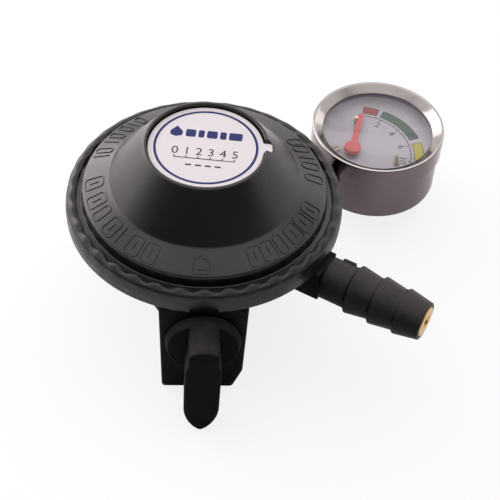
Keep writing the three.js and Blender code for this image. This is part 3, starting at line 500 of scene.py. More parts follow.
def shared_group(name):
    """One of the shader groups, made the first time that it is asked for."""
    if name not in GROUPS:
        GROUPS[name] = GROUP_MAKERS[name]()
    return GROUPS[name]


# ---------------------------------------------------------------- materials


LEAST_ROUGH = 0.02


def finish(name, base, rough=0.4, metallic=0.0, specular=0.5, film=0.0, patches=70.0, spread=0.12,
           rough_spread=0.06, grain=2400.0, grain_height=0.04, streaks=None, over="film"):
    """A procedural material: the base colour tinted by soft patches, with an optional painted sheen on
    upward faces, a lighter colour that stands in for light from above, uneven gloss and a fine relief.
    streaks gives a centre for turned or buffed lines instead of the fine relief's plain noise."""
    material = bpy.data.materials.new(name)
    material.use_nodes = True
    tree = material.node_tree
    shader = tree.nodes["Principled BSDF"]
    shader.inputs["Metallic"].default_value = metallic
    shader.inputs["Specular IOR Level"].default_value = specular

    def shared(kind, **values):
        return add(tree, "Group", values, node_tree=shared_group(kind))

    place, patch = add(tree, "TexCoord"), shared("mottle", Scale=patches)
    tint = painted = shared("tint", Base=base, Spread=spread)
    wire(tree, (place, "Object", patch, "Position"), (patch, "Mask", tint, "Mask"))
    # painted sheen: a lighter colour on upward faces that stands in for light from above
    if film > 0:
        painted = shared("sheen_paint", Film=ink(over), Amount=film)
        wire(tree, (tint, "Colour", painted, "Base"), (patch, "Mask", painted, "Mask"))
    if streaks is None:
        relief, uneven = shared("mottle", Scale=grain), patch
    else:
        relief = uneven = shared("streak", Scale=grain, Centre=tuple(np.array(streaks) * MM))
    least, most = max(LEAST_ROUGH, rough - rough_spread), rough + rough_spread
    gloss = add(tree, "MapRange", {"To Min": least, "To Max": most})
    bump = add(tree, "Bump", {"Distance": MM, "Strength": grain_height})
    wire(tree, (painted, "Colour", shader, "Base Color"), (place, "Object", relief, "Position"),
         (uneven, "Mask", gloss, "Value"), (gloss, "Result", shader, "Roughness"),
         (relief, "Mask", bump, "Height"), (bump, "Normal", shader, "Normal"))
    return material


def glass_finish():
    """Clear glass with the faintest unevenness in its gloss."""
    material = finish("window_glass", (0.97, 0.98, 0.985, 1.0), rough=0.02, rough_spread=0.01, spread=0.01,
                      grain_height=0.0, grain=200.0)
    shader = material.node_tree.nodes["Principled BSDF"]
    shader.inputs["Transmission Weight"].default_value = 1.0
    shader.inputs["IOR"].default_value = 1.45
    return material


PRINTED = dict(rough=0.5, specular=0.3, spread=0.05, patches=500, grain_height=0.01)
# each look's colour, and how it differs from the plain finish; a look's sheen share lays a lighter colour
# on its upward faces, a painted highlight that stands in for light from above
LOOKS = {
    "bonnet": ("paint", dict(rough=0.3, specular=0.6, patches=45, spread=0.15)),
    "ring": ("paint", dict(rough=0.36, specular=0.4, film=0.25, patches=160, spread=0.3, rough_spread=0.12,
                           grain=1500, grain_height=0.06)),
    "body": ("paint", dict(rough=0.5, specular=0.06, film=0.5, spread=0.2, grain=1800, grain_height=0.08)),
    "handle": ("plastic", dict(rough=0.42, specular=0.03, film=0.75, patches=260, spread=0.2, grain=2600,
                               grain_height=0.05)),
    "nozzle": ("plastic", dict(rough=0.38, specular=0.14, film=1.15, patches=120, spread=0.25, grain=2200,
                               grain_height=0.06)),
    "label": ("label", dict(rough=0.5, specular=0.3, spread=0.012, patches=120, grain_height=0.01)),
    "dial": ("dial", dict(rough=0.55, specular=0.3, spread=0.02, patches=90, grain_height=0.01)),
    "pointer": ("pointer", dict(rough=0.35, specular=0.5, spread=0.05, patches=300, grain_height=0.01)),
    # painted light: the bezel has the darkened case colour, with the bright chrome colour laid on its upward faces
    # as a painted highlight
    "bezel": ("case", dict(rough=0.14, metallic=1.0, film=1.6, over="chrome", spread=0.06, patches=60,
                           grain=900, grain_height=0.01, streaks=GAUGE)),
    # painted shade: the case's plating is darkened to stand in for the dark surroundings that it reflects
    "case": ("case", dict(rough=0.22, metallic=1.0, spread=0.1, patches=50, grain=900, grain_height=0.015,
                          streaks=GAUGE)),
    "brass": ("brass", dict(rough=0.28, metallic=1.0, spread=0.08, patches=200, grain=1500,
                            grain_height=0.02)),
    "pin": ("pin", dict(rough=0.25, metallic=1.0, spread=0.1, patches=400, grain=1500, grain_height=0.01)),
    "steel": ("steel", dict(rough=0.3, metallic=1.0, spread=0.08, patches=200, grain=1800,
                            grain_height=0.02)),
    "rubber": ("rubber", dict(rough=0.7, specular=0.3, spread=0.2, patches=150, grain=1500,
                              grain_height=0.08)),
    **{name: (name, PRINTED) for name in ("ink_blue", "ink_dark", "red", "green", "yellow")},
}
FINISHES = {}


def look(name):
    """A named finish, made the first time that it is asked for."""
    if name not in FINISHES:
        if name == "glass":
            FINISHES[name] = glass_finish()
        else:
            base, settings = LOOKS[name]
            FINISHES[name] = finish(name, ink(base), **settings)
    return FINISHES[name]


# ---------------------------------------------------------------- regulator


FLANGE, WALL_RISE, SKIRT_RISE, LABEL_DEPTH = 1.0, 3.4, 3.4, 1.05


def bonnet_heights():
    """Heights of the bonnet's levels: flange top, skirt edge, cone foot, label seat and lip top."""
    flange = BONNET_LOW[2] + FLANGE
    edge = flange + WALL_RISE
    return flange, edge, edge + SKIRT_RISE, LABEL_HIGH[2] - LABEL_DEPTH, BONNET_HIGH[2]


def build_bonnet():
    """A turned shell: flange, upright wall, skirt, cone and lip outside, the plug's hub inside. Where
    the label's tab lies, the lip is cut down to z = seat + 0.1."""
    flange, edge, foot, seat, top = bonnet_heights()
    wall, cone, lip = size("skirt_wall"), size("cone_foot"), size("lip_radius")
    rim, recess, plug, tab_end = BONNET_HIGH[0] - AXIS[0], lip - 0.85, 9.9, 18.4
    hub, hub_foot, under = plug + 2.3, seat - 6, seat - 1.8
    corners = [(rim, BONNET_LOW[2]), (rim, flange), (wall + 0.1, flange), (wall, edge), (cone, foot),
               (lip + 0.1, top - 0.2), (lip - 0.3, top), (recess, top), (recess, seat), (plug, seat),
               (plug, hub_foot), (hub, hub_foot), (hub, under), (recess + 0.9, under),
               (cone - 1.4, foot - 1.3), (wall - 2.1, edge - 1.1), (wall - 1.9, BONNET_LOW[2])]
    radii = [0.25, 0.25, 0.45, 0.75, 1.6, 0.3, 0.3, 0.25, 0.1, 0.2, 0.2, 0.2, 0.3, 0.8, 1.0, 0.8, 0.2]
    surface = lathe(corners, radii, 240, step=0.9)
    points = surface[0]
    reach = np.hypot(points[:, 0], points[:, 1])
    near = (np.abs(points[:, 1]) < 1.8) & (points[:, 0] > 0) & (reach > recess - 0.1) & (reach < tab_end)
    points[near, 2] = np.minimum(points[near, 2], seat + 0.1)
    return piece("bonnet_shell", upright(surface), look("bonnet"), "housing", "bonnet_black", "bonnet")


def on_skirt(middle, azimuth):
    """A map from (outward, sideways) millimetres and a height to the skirt's sloping face."""
    edge, foot = bonnet_heights()[1:3]
    wall, cone = size("skirt_wall"), size("cone_foot")
    slope = math.atan2(foot - edge, wall - cone)

    def place(flat, up):
        reach = middle + flat[..., 0]
        angle = math.radians(azimuth) + flat[..., 1] / middle
        height = edge + (wall - reach) * math.tan(slope) + up * math.cos(slope)
        reach = reach + up * math.sin(slope)
        return np.stack([AXIS[0] + reach * np.cos(angle), AXIS[1] + reach * np.sin(angle), height], -1)

    return place


STRIP_TOP = 0.62  # width of a raised line's top as a share of its foot


def strip(width, height, sunk=0.15):
    """Section of a raised line with sloping sides, its foot sunk below the face."""
    half = width / 2
    right = [(half, -sunk), (half, 0.0), (half * STRIP_TOP, height)]
    return np.array(right + [(-x, z) for x, z in reversed(right)])


def slot_outline(long, wide, lean=0.0):
    """An outline of a slot with round corners, pushed sideways by lean along its length."""
    x, y = long / 2, wide / 2
    points = rounded([(x, y), (-x, y), (-x, -y), (x, -y)], min(wide * 0.42, 0.9), 5)
    points = points[:, :2] + np.column_stack([np.zeros(len(points)), points[:, 0] * lean])
    return dense(points, 0.5)


# azimuth in degrees and half width of each mark in millimetres; a narrow one is a single line
SKIRT_MARKS = [(-177.6, 2.3), (-165.1, 2.3), (-155.7, 1.5), (-144.6, 2.3), (-137.4, 0.9), (-127.6, 2.3),
               (-118.2, 2.3), (-63.8, 2.3), (-56.2, 2.2), (-48.6, 1.4), (-38.7, 2.5), (-29.4, 2.4),
               (-19.7, 2.2), (3.5, 1.5), (12.9, 1.5), (19.3, 0.9), (26.8, 1.5), (32.8, 1.5), (127.0, 1.05),
               (132.4, 0.9), (137.2, 1.05), (144.4, 1.05), (150.0, 0.9), (157.4, 1.05), (162.0, 0.9)]


MARK_REACH, FLAME_AZIMUTH = 29.9, -91.6
SKIRT_FLAME = ((2.4, -1.9), (2.4, 1.9), (0.2, 2.2), (-1.6, 1.2), (-0.9, 0.6), (-2.7, -0.1), (-1.2, -0.9),
               (-1.9, -1.7), (0.2, -2.2))


def build_skirt_marks():
    """Outlined slots standing round the skirt, and an outlined flame over a burner at its front."""
    section = strip(size("mark_width"), size("mark_height"))
    middle = MARK_REACH
    surfaces = []
    for azimuth, half_wide in SKIRT_MARKS:
        place = on_skirt(middle, azimuth)
        if half_wide < 1.0:
            line = np.column_stack([np.linspace(-2.4, 2.4, 9), np.zeros(9)])
            surfaces.append(swept(line, section, place, False))
            continue
        surfaces.append(swept(slot_outline(5.0, 1.7 * half_wide), section, place, True))
        if half_wide > 2.1:
            line = np.column_stack([np.linspace(-1.2, 1.2, 6), np.zeros(6)])
            surfaces.append(swept(line, section, place, False))
    place = on_skirt(middle, FLAME_AZIMUTH)
    surfaces.append(swept(dense(rounded(SKIRT_FLAME, 0.5, 4), 0.4), section, place, True))
    burner = np.column_stack([1.75 - 0.5 * np.cos(np.linspace(-1, 1, 9)), np.linspace(-1.1, 1.1, 9)])
    surfaces.append(swept(burner, section, place, False))
    surfaces = [facing_out(surface) for surface in surfaces]
    return piece("skirt_marks", joined(*surfaces), look("bonnet"), "housing", "bonnet_black", crease=50)


def build_ring():
    """A rolled C-section carried round the axis. The crown's inner edge is pressed down by
    depth x dip, dip = (1 - cos(n a)) / 2 for n scallops at angle a, and its outside in by a quarter."""
    outer, low, top = RING_HIGH[0] - AXIS[0], RING_LOW[2], RING_HIGH[2]
    wall = outer - 1.6
    lip = bonnet_heights()[0] + 0.2
    crown, inside, floor = outer - 3.0, wall - 3.1, low + 1.05
    corners = [(inside, low), (outer - 0.15, low), (outer, low + 3.2), (outer - 0.35, top - 1.1),
               (outer - 2.0, top), (crown, top - 0.25), (crown, lip), (wall, lip), (wall, floor),
               (inside, floor)]
    radii = [0.25, 0.7, 1.8, 1.5, 1.2, 0.4, 0.15, 0.1, 0.2, 0.25]
    count = int(bpy.context.scene.regulator_sizes.scallops)
    surface = lathe(corners, radii, 16 * count, step=0.45)
    points = surface[0]
    reach = np.hypot(points[:, 0], points[:, 1])
    angle = np.arctan2(points[:, 1], points[:, 0])
    dip = size("scallop_depth") * (0.5 - 0.5 * np.cos(count * angle))
    inner = smooth((outer - reach - 0.6) / 2.0) * smooth((points[:, 2] - lip) / 0.5)
    outside = smooth((points[:, 2] - low - 4.4) / 1.8) * smooth((reach - wall + 0.2) / 0.6)
    scale = 1 - 0.25 * dip * outside / reach
    points[:, 0] *= scale
    points[:, 1] *= scale
    points[:, 2] -= dip * inner
    front = (np.abs(points[:, 0]) < 3.6) & (points[:, 1] < 0) & (reach > outer - 1.1)
    points[front, 2] = np.maximum(points[front, 2], low + 2.2)
    return piece("crimped_ring", upright(surface), look("ring"), "housing", "ring_black", "clamp_ring",
                 crease=70)


def build_label():
    """A round plate with a tab towards +X, its outline given by the reach at each angle."""
    radius, top = size("lip_radius") - 1.25, LABEL_HIGH[2]
    angle = np.linspace(-math.pi, math.pi, 289)[:-1]
    half, tab_length, thick = 1.5, 2.2, 1.0
    corner = math.asin(half / radius)
    tab = np.where(np.abs(angle) < corner, (radius + tab_length) / np.cos(angle), radius)
    edge = smooth((corner - np.abs(angle)) / 0.02 + 0.5)
    side = np.where(np.abs(angle) < 0.3, half / np.maximum(np.abs(np.sin(angle)), 1e-6), 1e6)
    reach = np.minimum(radius + (tab - radius) * edge, side.clip(radius, None))
    outline = np.column_stack([reach * np.cos(angle), reach * np.sin(angle)])
    body = plate(outline, top - thick, top, 0.12)
    return piece("label_plate", upright(body), look("label"), "housing", "label_white", "label_disc")


def on_flat(origin, height, turn=0.0):
    """A map from flat (x, y) millimetres and a height to a level face about an origin."""
    c, s = math.cos(math.radians(turn)), math.sin(math.radians(turn))

    def place(flat, up):
        x, y = flat[..., 0], flat[..., 1]
        return np.stack([origin[0] + c * x - s * y, origin[1] + s * x + c * y, height + up], -1)

    return place


def arc(radius, first, last, step=3.0):
    """Points on a circle's arc between two angles in degrees."""
    count = max(3, int(abs(last - first) / step) + 1)
    angle = np.radians(np.linspace(first, last, count))
    return np.column_stack([radius * np.cos(angle), radius * np.sin(angle)])


INK = 0.03


def way_at(angle):
    """The flat direction at an angle in degrees."""
    return np.array([math.cos(math.radians(angle)), math.sin(math.radians(angle))])


def print_line(path, width, place, closed=False):
    """A printed line as a closed strip that reaches INK above the face and INK into it."""
    half = width / 2
    section = np.array([(half, -INK), (half, INK), (-half, INK), (-half, -INK)])
    return facing_out(swept(path, section, place, closed))


def filled(outline, place):
    """A printed patch from a star-shaped outline about its mean."""
    points, quads, triangles = plate(outline, -INK, INK, 0.0, outline.mean(0))
    return facing_out((place(points[:, :2], points[:, 2]), quads, triangles))


FONT_SHARE = 1.38  # font size for a digit one unit high


def digits(text, height, place):
    """Plain digits as closed shapes, centred on the map's origin and mapped through place."""
    curve = bpy.data.curves.new("digits", "FONT")
    curve.body = text
    curve.size = height * FONT_SHARE
    curve.align_x = "CENTER"
    curve.align_y = "CENTER"
    curve.extrude = INK
    curve.resolution_u = 4
    holder = placed("digits", curve)
    mesh = bpy.data.meshes.new_from_object(holder.evaluated_get(bpy.context.evaluated_depsgraph_get()))
    work = bmesh.new()
    work.from_mesh(mesh)
    bmesh.ops.remove_doubles(work, verts=work.verts, dist=1e-4)
    bmesh.ops.triangulate(work, faces=work.faces)
    points = np.array([vertex.co[:] for vertex in work.verts])
    triangles = np.array([[vertex.index for vertex in face.verts] for face in work.faces])
    work.free()
    bpy.data.objects.remove(holder)
    bpy.data.curves.remove(curve)
    bpy.data.meshes.remove(mesh)
    return facing_out((place(points[:, :2], points[:, 2]), np.zeros((0, 4), int), triangles))


PRINT_TURN = -6.5  # degrees that the printing is turned on the label
BLOCK_ROW, BLOCKS = (3.4, 6.2), ((-5.9, -3.2), (-2.5, -0.9), (-0.2, 2.6), (3.3, 5.0), (5.7, 9.3))
DIGIT_ROW, SCALE_ROW, SCALE_HALF = -2.2, -4.7, 8.0
DASH_ROW, DASHES = -7.2, (-3.9, -1.3, 1.3, 3.9)


def build_label_print():
    """The label's printing: a ring, a flame and a row of blocks, a short scale and a row of dashes."""
    top, turn = LABEL_HIGH[2], PRINT_TURN
    place = on_flat(AXIS, top, turn)
    blue = [print_line(arc(size("label_ring"), 0, 357, 3.0), 0.7, place, True)]
    flame = rounded([(-8.4, 7.2), (-6.7, 5.1), (-6.8, 3.7), (-8.4, 3.1), (-10.0, 3.7), (-10.1, 5.1)],
                    [0.1, 0.6, 0.6, 0.6, 0.6, 0.6], 4)
    blue.append(filled(flame, place))
    low, high = BLOCK_ROW
    for start, end in BLOCKS:
        blocks = rounded([(end, high), (start, high), (start, low), (end, low)], 0.5, 4)
        blue.append(filled(blocks, place))
    dark = []
    for k in range(6):
        x = -SCALE_HALF + SCALE_HALF * 0.4 * k
        dark.append(digits(str(k), 2.8, on_flat(place(np.array([x, DIGIT_ROW]), 0.0)[:2], top, turn)))
        dark.append(print_line(np.array([(x, SCALE_ROW + 0.8), (x, SCALE_ROW)]), 0.3, place))
    dark.append(print_line(np.array([(-SCALE_HALF, SCALE_ROW), (SCALE_HALF, SCALE_ROW)]), 0.3, place))
    for x in DASHES:
        dark.append(print_line(np.array([(x - 0.8, DASH_ROW), (x + 0.8, DASH_ROW)]), 0.55, place))
    return [piece("label_print_blue", joined(*blue), look("ink_blue"), "housing", "label_white", crease=60),
            piece("label_print_dark", joined(*dark), look("ink_dark"), "housing", "label_white", crease=60)]


def lofted(sections):
    """A surface through convex loops, its two ends closed by joining point k to point n - k."""
    count, columns = sections.shape[:2]
    points, quads = skin(sections, sections[0, 0], sections[-1, 0])[:2]
    points = points[:count * columns]
    half = columns // 2
    k = np.arange(1, half - 1)
    strips, ends = [], []
    for first, flip in ((0, False), ((count - 1) * columns, True)):
        band = first + np.stack([k, k + 1, columns - k - 1, columns - k], -1)
        tips = first + np.array([(0, 1, columns - 1), (half - 1, half, half + 1)])
        strips.append(band[:, ::-1] if flip else band)
        ends.append(tips[:, ::-1] if flip else tips)
    return points, np.vstack([quads] + strips), np.vstack(ends)


def inset(loop, amount):
    """A closed outline moved inward along its own normals."""
    ahead = np.roll(loop, -1, axis=0) - np.roll(loop, 1, axis=0)
    ahead /= np.linalg.norm(ahead, axis=1, keepdims=True)
    side = np.column_stack([-ahead[:, 1], ahead[:, 0]])
    inward = np.sign(np.sum((loop.mean(0) - loop) * side)) * side
    return loop + inward * amount


def edge_steps(radius, steps=4):
    """(inset, advance) pairs round a quarter circle of this radius."""
    turn = np.linspace(0, math.pi / 2, steps + 1)[1:]
    return [(radius * (1 - math.cos(t)), radius * math.sin(t)) for t in turn]


def at_front(flat, reach):
    """(x, height) outlines set at a reach in front of the regulator's axis."""
    return np.stack([AXIS[0] + flat[:, 0], np.full(len(flat), AXIS[1] - reach), flat[:, 1]], -1)


ARCH_DROP, FOOT_POWER, FOOT_HEIGHT = 1.7, 0.68, 9.0


def handle_outline():
    """Half the handle's outline, mirrored: an arched top that falls by ARCH_DROP x (x / neck)^2,
    shoulders, and a foot whose half width is foot x (1 - s^2)^FOOT_POWER as s goes from
    0 at its top to 1 at the tip."""
    top, tip = HANDLE_HIGH[2], HANDLE_LOW[2]
    neck, foot = size("handle_neck") / 2 - 0.1, size("handle_width") / 2 - 0.1
    across = np.linspace(0, neck - 0.5, 7)
    arch = np.column_stack([across, top - ARCH_DROP * (across / neck) ** 2])
    s = np.sin(np.linspace(0, math.pi / 2, 14))
    ogive = np.column_stack([foot * (1 - s ** 2) ** FOOT_POWER, tip + FOOT_HEIGHT * (1 - s)])
    side = np.vstack([[(neck, top - 2.1)], [(neck, top - 5.6)], [(foot, top - 8)]])
    side = rounded(np.vstack([arch[-1:], side, ogive[:1]]), [0, 0.4, 2.5, 2.5, 0], 4, closed=False)
    right = np.vstack([arch[:-1], dense(side, 1.5, closed=False)[:-1], ogive])
    left = right[1:-1][::-1] * (-1, 1)
    return np.vstack([right, left])


# sideways lean, rake of the front face and steepness of the cut at the back, each a slope
HANDLE_LEAN, HANDLE_RAKE, HANDLE_RELIEF = 0.022, 0.06, 2.47
# across, height and radius of each small mark on the front face
HANDLE_DOTS = ((-0.9, 9.4, 0.36), (0.95, 9.4, 0.36), (-2.05, 5.1, 0.32), (1.5, 5.1, 0.32))


def build_handle():
    """A tapered disc with a bar across it. The bar is the outline carried from the disc to the front,
    its front edge rounded, and its lower back cut away where height < relief(reach). Its front face
    rakes back by HANDLE_RAKE of the height above the tip."""
    back, front = BLOCK_FACE + 0.3, HANDLE_FRONT
    radius = size("knob_radius")
    outline = handle_outline()
    edge, disc_depth = 0.75, 3.1
    stations = [(back + 1.5, 0.0), (back + disc_depth, 0.0)]
    stations += [(back + disc_depth + k, 0.0) for k in range(1, 6)]
    stations += [(front - 4.5, 0.0), (front - 2.5, 0.0), (front - edge, 0.0)]
    stations += [(front - edge + advance, inward) for inward, advance in edge_steps(edge)]
    relief_from, relief_top = back + disc_depth, KNOB[2] - radius + 0.9
    sections = []
    for reach, inward in stations:
        loop = inset(outline, inward) if inward else outline.copy()
        low = relief_top - (max(reach, relief_from) - relief_from) * HANDLE_RELIEF
        cut = loop[:, 1] < low
        loop[cut, 1] = low + 0.01 * np.abs(loop[cut, 0])
        loop[:, 0] += HANDLE_LEAN * (loop[:, 1] - KNOB[2])
        sections.append(at_front(loop, reach))
    sections = np.array(sections)
    share = np.clip((AXIS[1] - sections[..., 1] - relief_from) / (front - relief_from), 0, 1)
    sections[..., 1] += HANDLE_RAKE * share * (sections[..., 2] - outline[:, 1].min())
    bar = facing_out(lofted(sections))
    corners = [(0, back), (radius, back), (radius - 0.1, back + 0.6), (radius - 0.85, back + disc_depth),
               (0, back + disc_depth)]
    way = np.array([0.0, -1.0, 0.0])
    disc = outward(lathe(corners, [0, 0.3, 0.3, 0.55, 0], 120, 5, closed=False), way, KNOB[2])
    dots = []
    for x, height, wide in HANDLE_DOTS:
        ring = turned([(wide * 0.5, -0.1), (wide, -0.1), (wide, 0.05), (wide * 0.5, 0.05)], 20)
        spot = np.array([AXIS[0] + x, AXIS[1] - front + 0.05 + HANDLE_RAKE * height, height])
        dots.append(moved(ring, spot, (1, 0, 0), (0, 0, 1), way))
    return piece("lock_handle", joined(bar, disc, *dots), look("handle"), "knob", "handle_black", "handle",
                 crease=38)


def build_nozzle():
    """A turned tail: neck, then a barb for each pitch with a steep face and a long taper, bored
    through; a small key stands on the neck."""
    back, neck_start, pitch = 30.5, 39.2, 7.2
    first = neck_start + 7.4
    neck, bore, socket, mouth, mouth_depth = 5.9, 2.6, 4.15, 4.25, 12
    peaks, roots = (6.9, 6.85, 6.55), (6.0, 5.95, 5.3)
    corners = [(bore, back), (socket, back), (socket, neck_start), (neck, neck_start), (neck, first)]
    radii = [0.1, 0.1, 0.1, 0.3, 0.2]
    for k, (peak, root) in enumerate(zip(peaks, roots)):
        last = k == len(peaks) - 1
        end = TAIL_TIP if last else first + pitch * (k + 1) - 0.6
        corners += [(peak, first + pitch * k + 0.7), (root, end)]
        radii += [0.35, 0.3]
        if not last:
            corners.append((root, first + pitch * (k + 1)))
            radii.append(0.2)
    corners += [(mouth, TAIL_TIP), (mouth, TAIL_TIP - mouth_depth), (bore, TAIL_TIP - mouth_depth)]
    radii += [0.15, 0.1, 0.1]
    body = outward(lathe(corners, radii, 96, 4, step=1.2), TAIL_WAY, TAIL_HEIGHT)
    lean, key_place, key_foot, key_top = math.radians(46), 4.2, 5.2, 6.6
    side = np.cross(TAIL_WAY, UP)
    rise = UP * math.cos(lean) - side * math.sin(lean)
    across = np.cross(TAIL_WAY, rise)
    key = rounded([(1.9, 0.9), (-1.9, 0.9), (-1.9, -0.9), (1.9, -0.9)], 0.35, 3)
    start = AXIS + UP * TAIL_HEIGHT + TAIL_WAY * (neck_start + key_place)
    lug = moved(plate(key, key_foot, key_top, 0.3), start, TAIL_WAY, across, rise)
    return piece("hose_tail", joined(body, lug), look("nozzle"), "housing", "nozzle_black", "hose_nozzle")


def build_insert():
    """A brass sleeve pressed into the tail's end, its mouth countersunk."""
    bore, sink, outer = 1.5, 2.0, 4.2
    back, front = TAIL_TIP - 11.6, TAIL_TIP + 0.2
    corners = [(bore, back), (outer, back), (outer, front), (sink, front), (bore, TAIL_TIP - 0.5)]
    body = outward(lathe(corners, [0.1, 0.1, 0.25, 0.1, 0.1], 64, 4), TAIL_WAY, TAIL_HEIGHT)
    return piece("tail_insert", body, look("brass"), "housing", "insert_brass", "nozzle_insert")


# ---------------------------------------------------------------- gauge


def build_gauge_shell():
    """The gauge's turned parts: a cup with a rolled foot, a bezel with an inward-sloping lip, a round
    glass, and a pale liner that stands round the dial's edge."""
    low, high = CASE_LOW[2], CASE_HIGH[2]
    outer = CASE_HIGH[0] - GAUGE[0]
    wall = 0.9
    corners = [(0, low), (outer - 0.1, low), (outer, high), (outer - wall, high), (outer - wall, low + 1.1),
               (0, low + wall)]
    radii = [0, 1.1, 0.1, 0.1, 1.0, 0]
    cup = lathe(corners, radii, 144, step=1.6, closed=False)
    rim, foot, top = BEZEL_HIGH[0] - GAUGE[0], BEZEL_LOW[2], BEZEL_HIGH[2]
    lip, slope = rim - size("bezel_lip"), 1.9
    corners = [(outer + 0.2, foot), (rim, foot), (rim, top), (rim - 0.75, top), (lip, top - slope),
               (lip, top - slope - 0.35), (outer + 0.2, top - slope - 0.35)]
    bezel = lathe(corners, [0.1, 0.3, 0.36, 0.36, 0.12, 0.1, 0.1], 180, step=1.2)
    glass_rim = WINDOW_HIGH[0] - GAUGE[0]
    under, over = WINDOW_LOW[2], WINDOW_HIGH[2]
    corners = [(0, under), (glass_rim, under), (glass_rim, over), (0, over)]
    glass = lathe(corners, [0, 0.12, 0.12, 0], 120, 3, closed=False)
    inside, foot = outer - wall - 0.03, DIAL_HIGH[2] + 0.04
    corners = [(inside - 0.35, foot), (inside, foot), (inside, high - 0.05), (inside - 0.35, high - 0.05)]
    liner = lathe(corners, 0.08, 144, 3, step=0.8)
    rows = [("gauge_cup", cup, "case", "case_chrome", "gauge_case"),
            ("bezel_ring", bezel, "bezel", "bezel_chrome", "gauge_bezel"),
            ("gauge_glass", glass, "glass", "window_glass", "gauge_window"),
            ("dial_liner", liner, "dial", "dial_white")]
    return [piece(name, upright(surface, GAUGE), look(kind), "housing", *rest)
            for name, surface, kind, *rest in rows]


# the scale's centre stands off the pointer's pivot; angles are in degrees from +X
SCALE_CENTRE = PIVOT + (1.96, -0.16, 0.0)
SCALE_RADIUS, SCALE_START, SCALE_END = 15.3, 78.8, -14.6
BAND_INNER, BAND_OUTER = 16.25, 19.1
BANDS = (("red", 81.3, 67.0), ("green", 62.7, 18.2), ("yellow", 12.4, -14.2))
NUMBERS = (("2", 60.4), ("4", 36.5), ("6", 10.6), ("10", -12.5))
TICK, SMALL_TICK, NUMBER_DROP, NUMBER_HEIGHT = 0.9, 0.45, 2.5, 2.2
SMALL_TICKS = (55.0, 49.0, 42.5, 31.0, 24.5, 17.5, 4.0, -2.0, -7.5)


def build_dial():
    """The dial's disc and its printing: a scale's arc with ticks and numbers, and three bands whose
    edges are drawn in a dark line, all about the scale's centre."""
    low, high = DIAL_LOW[2], DIAL_HIGH[2]
    rim = DIAL_HIGH[0] - GAUGE[0]
    hole = 1.1
    around = np.linspace(0, 2 * math.pi, 97)[:-1]
    shift = (PIVOT - GAUGE)[:2]
    outer = np.column_stack([rim * np.cos(around), rim * np.sin(around)])
    inner = shift + hole * np.column_stack([np.cos(around), np.sin(around)])
    loops = [(outer, low), (outer, high), (inner, high), (inner, low)]
    disc = skin(np.array([np.column_stack([loop, np.full(len(loop), height)]) for loop, height in loops]))
    made = [piece("dial_plate", upright(disc, GAUGE), look("dial"), "housing", "dial_white", "gauge_dial")]
    place = on_flat(SCALE_CENTRE, high)
    lines = [print_line(arc(SCALE_RADIUS, SCALE_START, SCALE_END), 0.24, place)]
    for name, first, last in BANDS:
        middle = (BAND_INNER + BAND_OUTER) / 2
        band = print_line(arc(middle, first, last, 2.0), BAND_OUTER - BAND_INNER, place)
        made.append(piece("dial_band_" + name, band, look(name), "housing", "dial_white", crease=60))
        border = np.vstack([arc(BAND_OUTER, first, last, 2.0), arc(BAND_INNER, last, first, 2.0)])
        lines.append(print_line(border, 0.2, on_flat(SCALE_CENTRE, high + 0.01), True))
    for text, angle in NUMBERS:
        way = way_at(angle)
        lines.append(print_line(np.array([way * (SCALE_RADIUS - TICK), way * SCALE_RADIUS]), 0.26, place))
        spot = place(way * (SCALE_RADIUS - NUMBER_DROP), 0.0)
        lines.append(digits(text, NUMBER_HEIGHT, on_flat(spot[:2], high, angle - 90)))
    for angle in SMALL_TICKS:
        way = way_at(angle)
        tick = np.array([way * (SCALE_RADIUS - SMALL_TICK), way * SCALE_RADIUS])
        lines.append(print_line(tick, 0.16, place))
    made.append(piece("dial_print", joined(*lines), look("ink_dark"), "housing", "dial_white", crease=60))
    return made


POINTER_ANGLE = 75.7  # degrees from +X at rest


def build_pointer():
    """A flat blade with a round end, and a round hub over it, their upper edges eased."""
    low = POINTER_LOW[2]
    length_out, half, tip = 15.0, 0.85, 0.86
    thick, hub_radius, hub_height = 0.5, 2.5, 0.9
    blade = rounded([(length_out, tip), (0, half), (0, -half), (length_out, -tip)], [0.8, 0.1, 0.1, 0.8], 6)
    blade = dense(blade, 1.0)
    blade_plate = plate(blade, low, low + thick, 0.12, (length_out / 2, 0))
    rows = [(0, low), (hub_radius, low), (hub_radius, low + hub_height), (0, low + hub_height)]
    hub = lathe(rows, [0, 0.05, 0.3, 0], 64, 5, closed=False)
    way = np.append(way_at(POINTER_ANGLE), 0.0)
    side = np.array([-way[1], way[0], 0.0])
    origin = np.array([PIVOT[0], PIVOT[1], 0.0])
    parts = [moved(part, origin, way, side, UP) for part in (blade_plate, hub)]
    return piece("dial_pointer", joined(*parts), look("pointer"), "pointer", "pointer_red", "gauge_pointer")


# ---------------------------------------------------------------- castings and inner parts


def build_castings():
    """The lower body's own shape, the edges round the block's front face and back from it rounded."""
    face, shortest, straight = BODY_LOW[1] + 0.3, 2.0, 0.95

    def at_face(first, last):
        run = np.linalg.norm(first - last)
        flat = max(first[1], last[1]) < face
        back = abs(first[1] - last[1]) > straight * run and min(first[1], last[1]) < face
        return (flat or back) and run > shortest

    return eased("lower_casting", "lower_body", look("body"), "housing", "body_black", 1.0, at_face)


INNER_LOOKS = {
    "brass": ("socket_bush", "plunger", "drive_collar", "orifice_nozzle", "gauge_link", "bourdon_tube",
              "gauge_bridge"),
    "pin": ("stop_pin", "limit_post", "dial_screw"),
    # the stem and washer take the darkened plating colour, a painted shade
    "case": ("gauge_stem", "gauge_washer"),
    "steel": ("adjusting_plug", "diaphragm_plate", "diaphragm_stem", "lock_sleeve", "lock_ball_1",
              "lock_ball_2", "lock_ball_3", "valve_lever", "lever_pin", "seat_carrier", "switch_shaft",
              "shaft_pin", "pointer_arbor"),
    "rubber": ("plunger_o_ring", "inlet_seal", "seat_disc", "shaft_o_ring"),
}

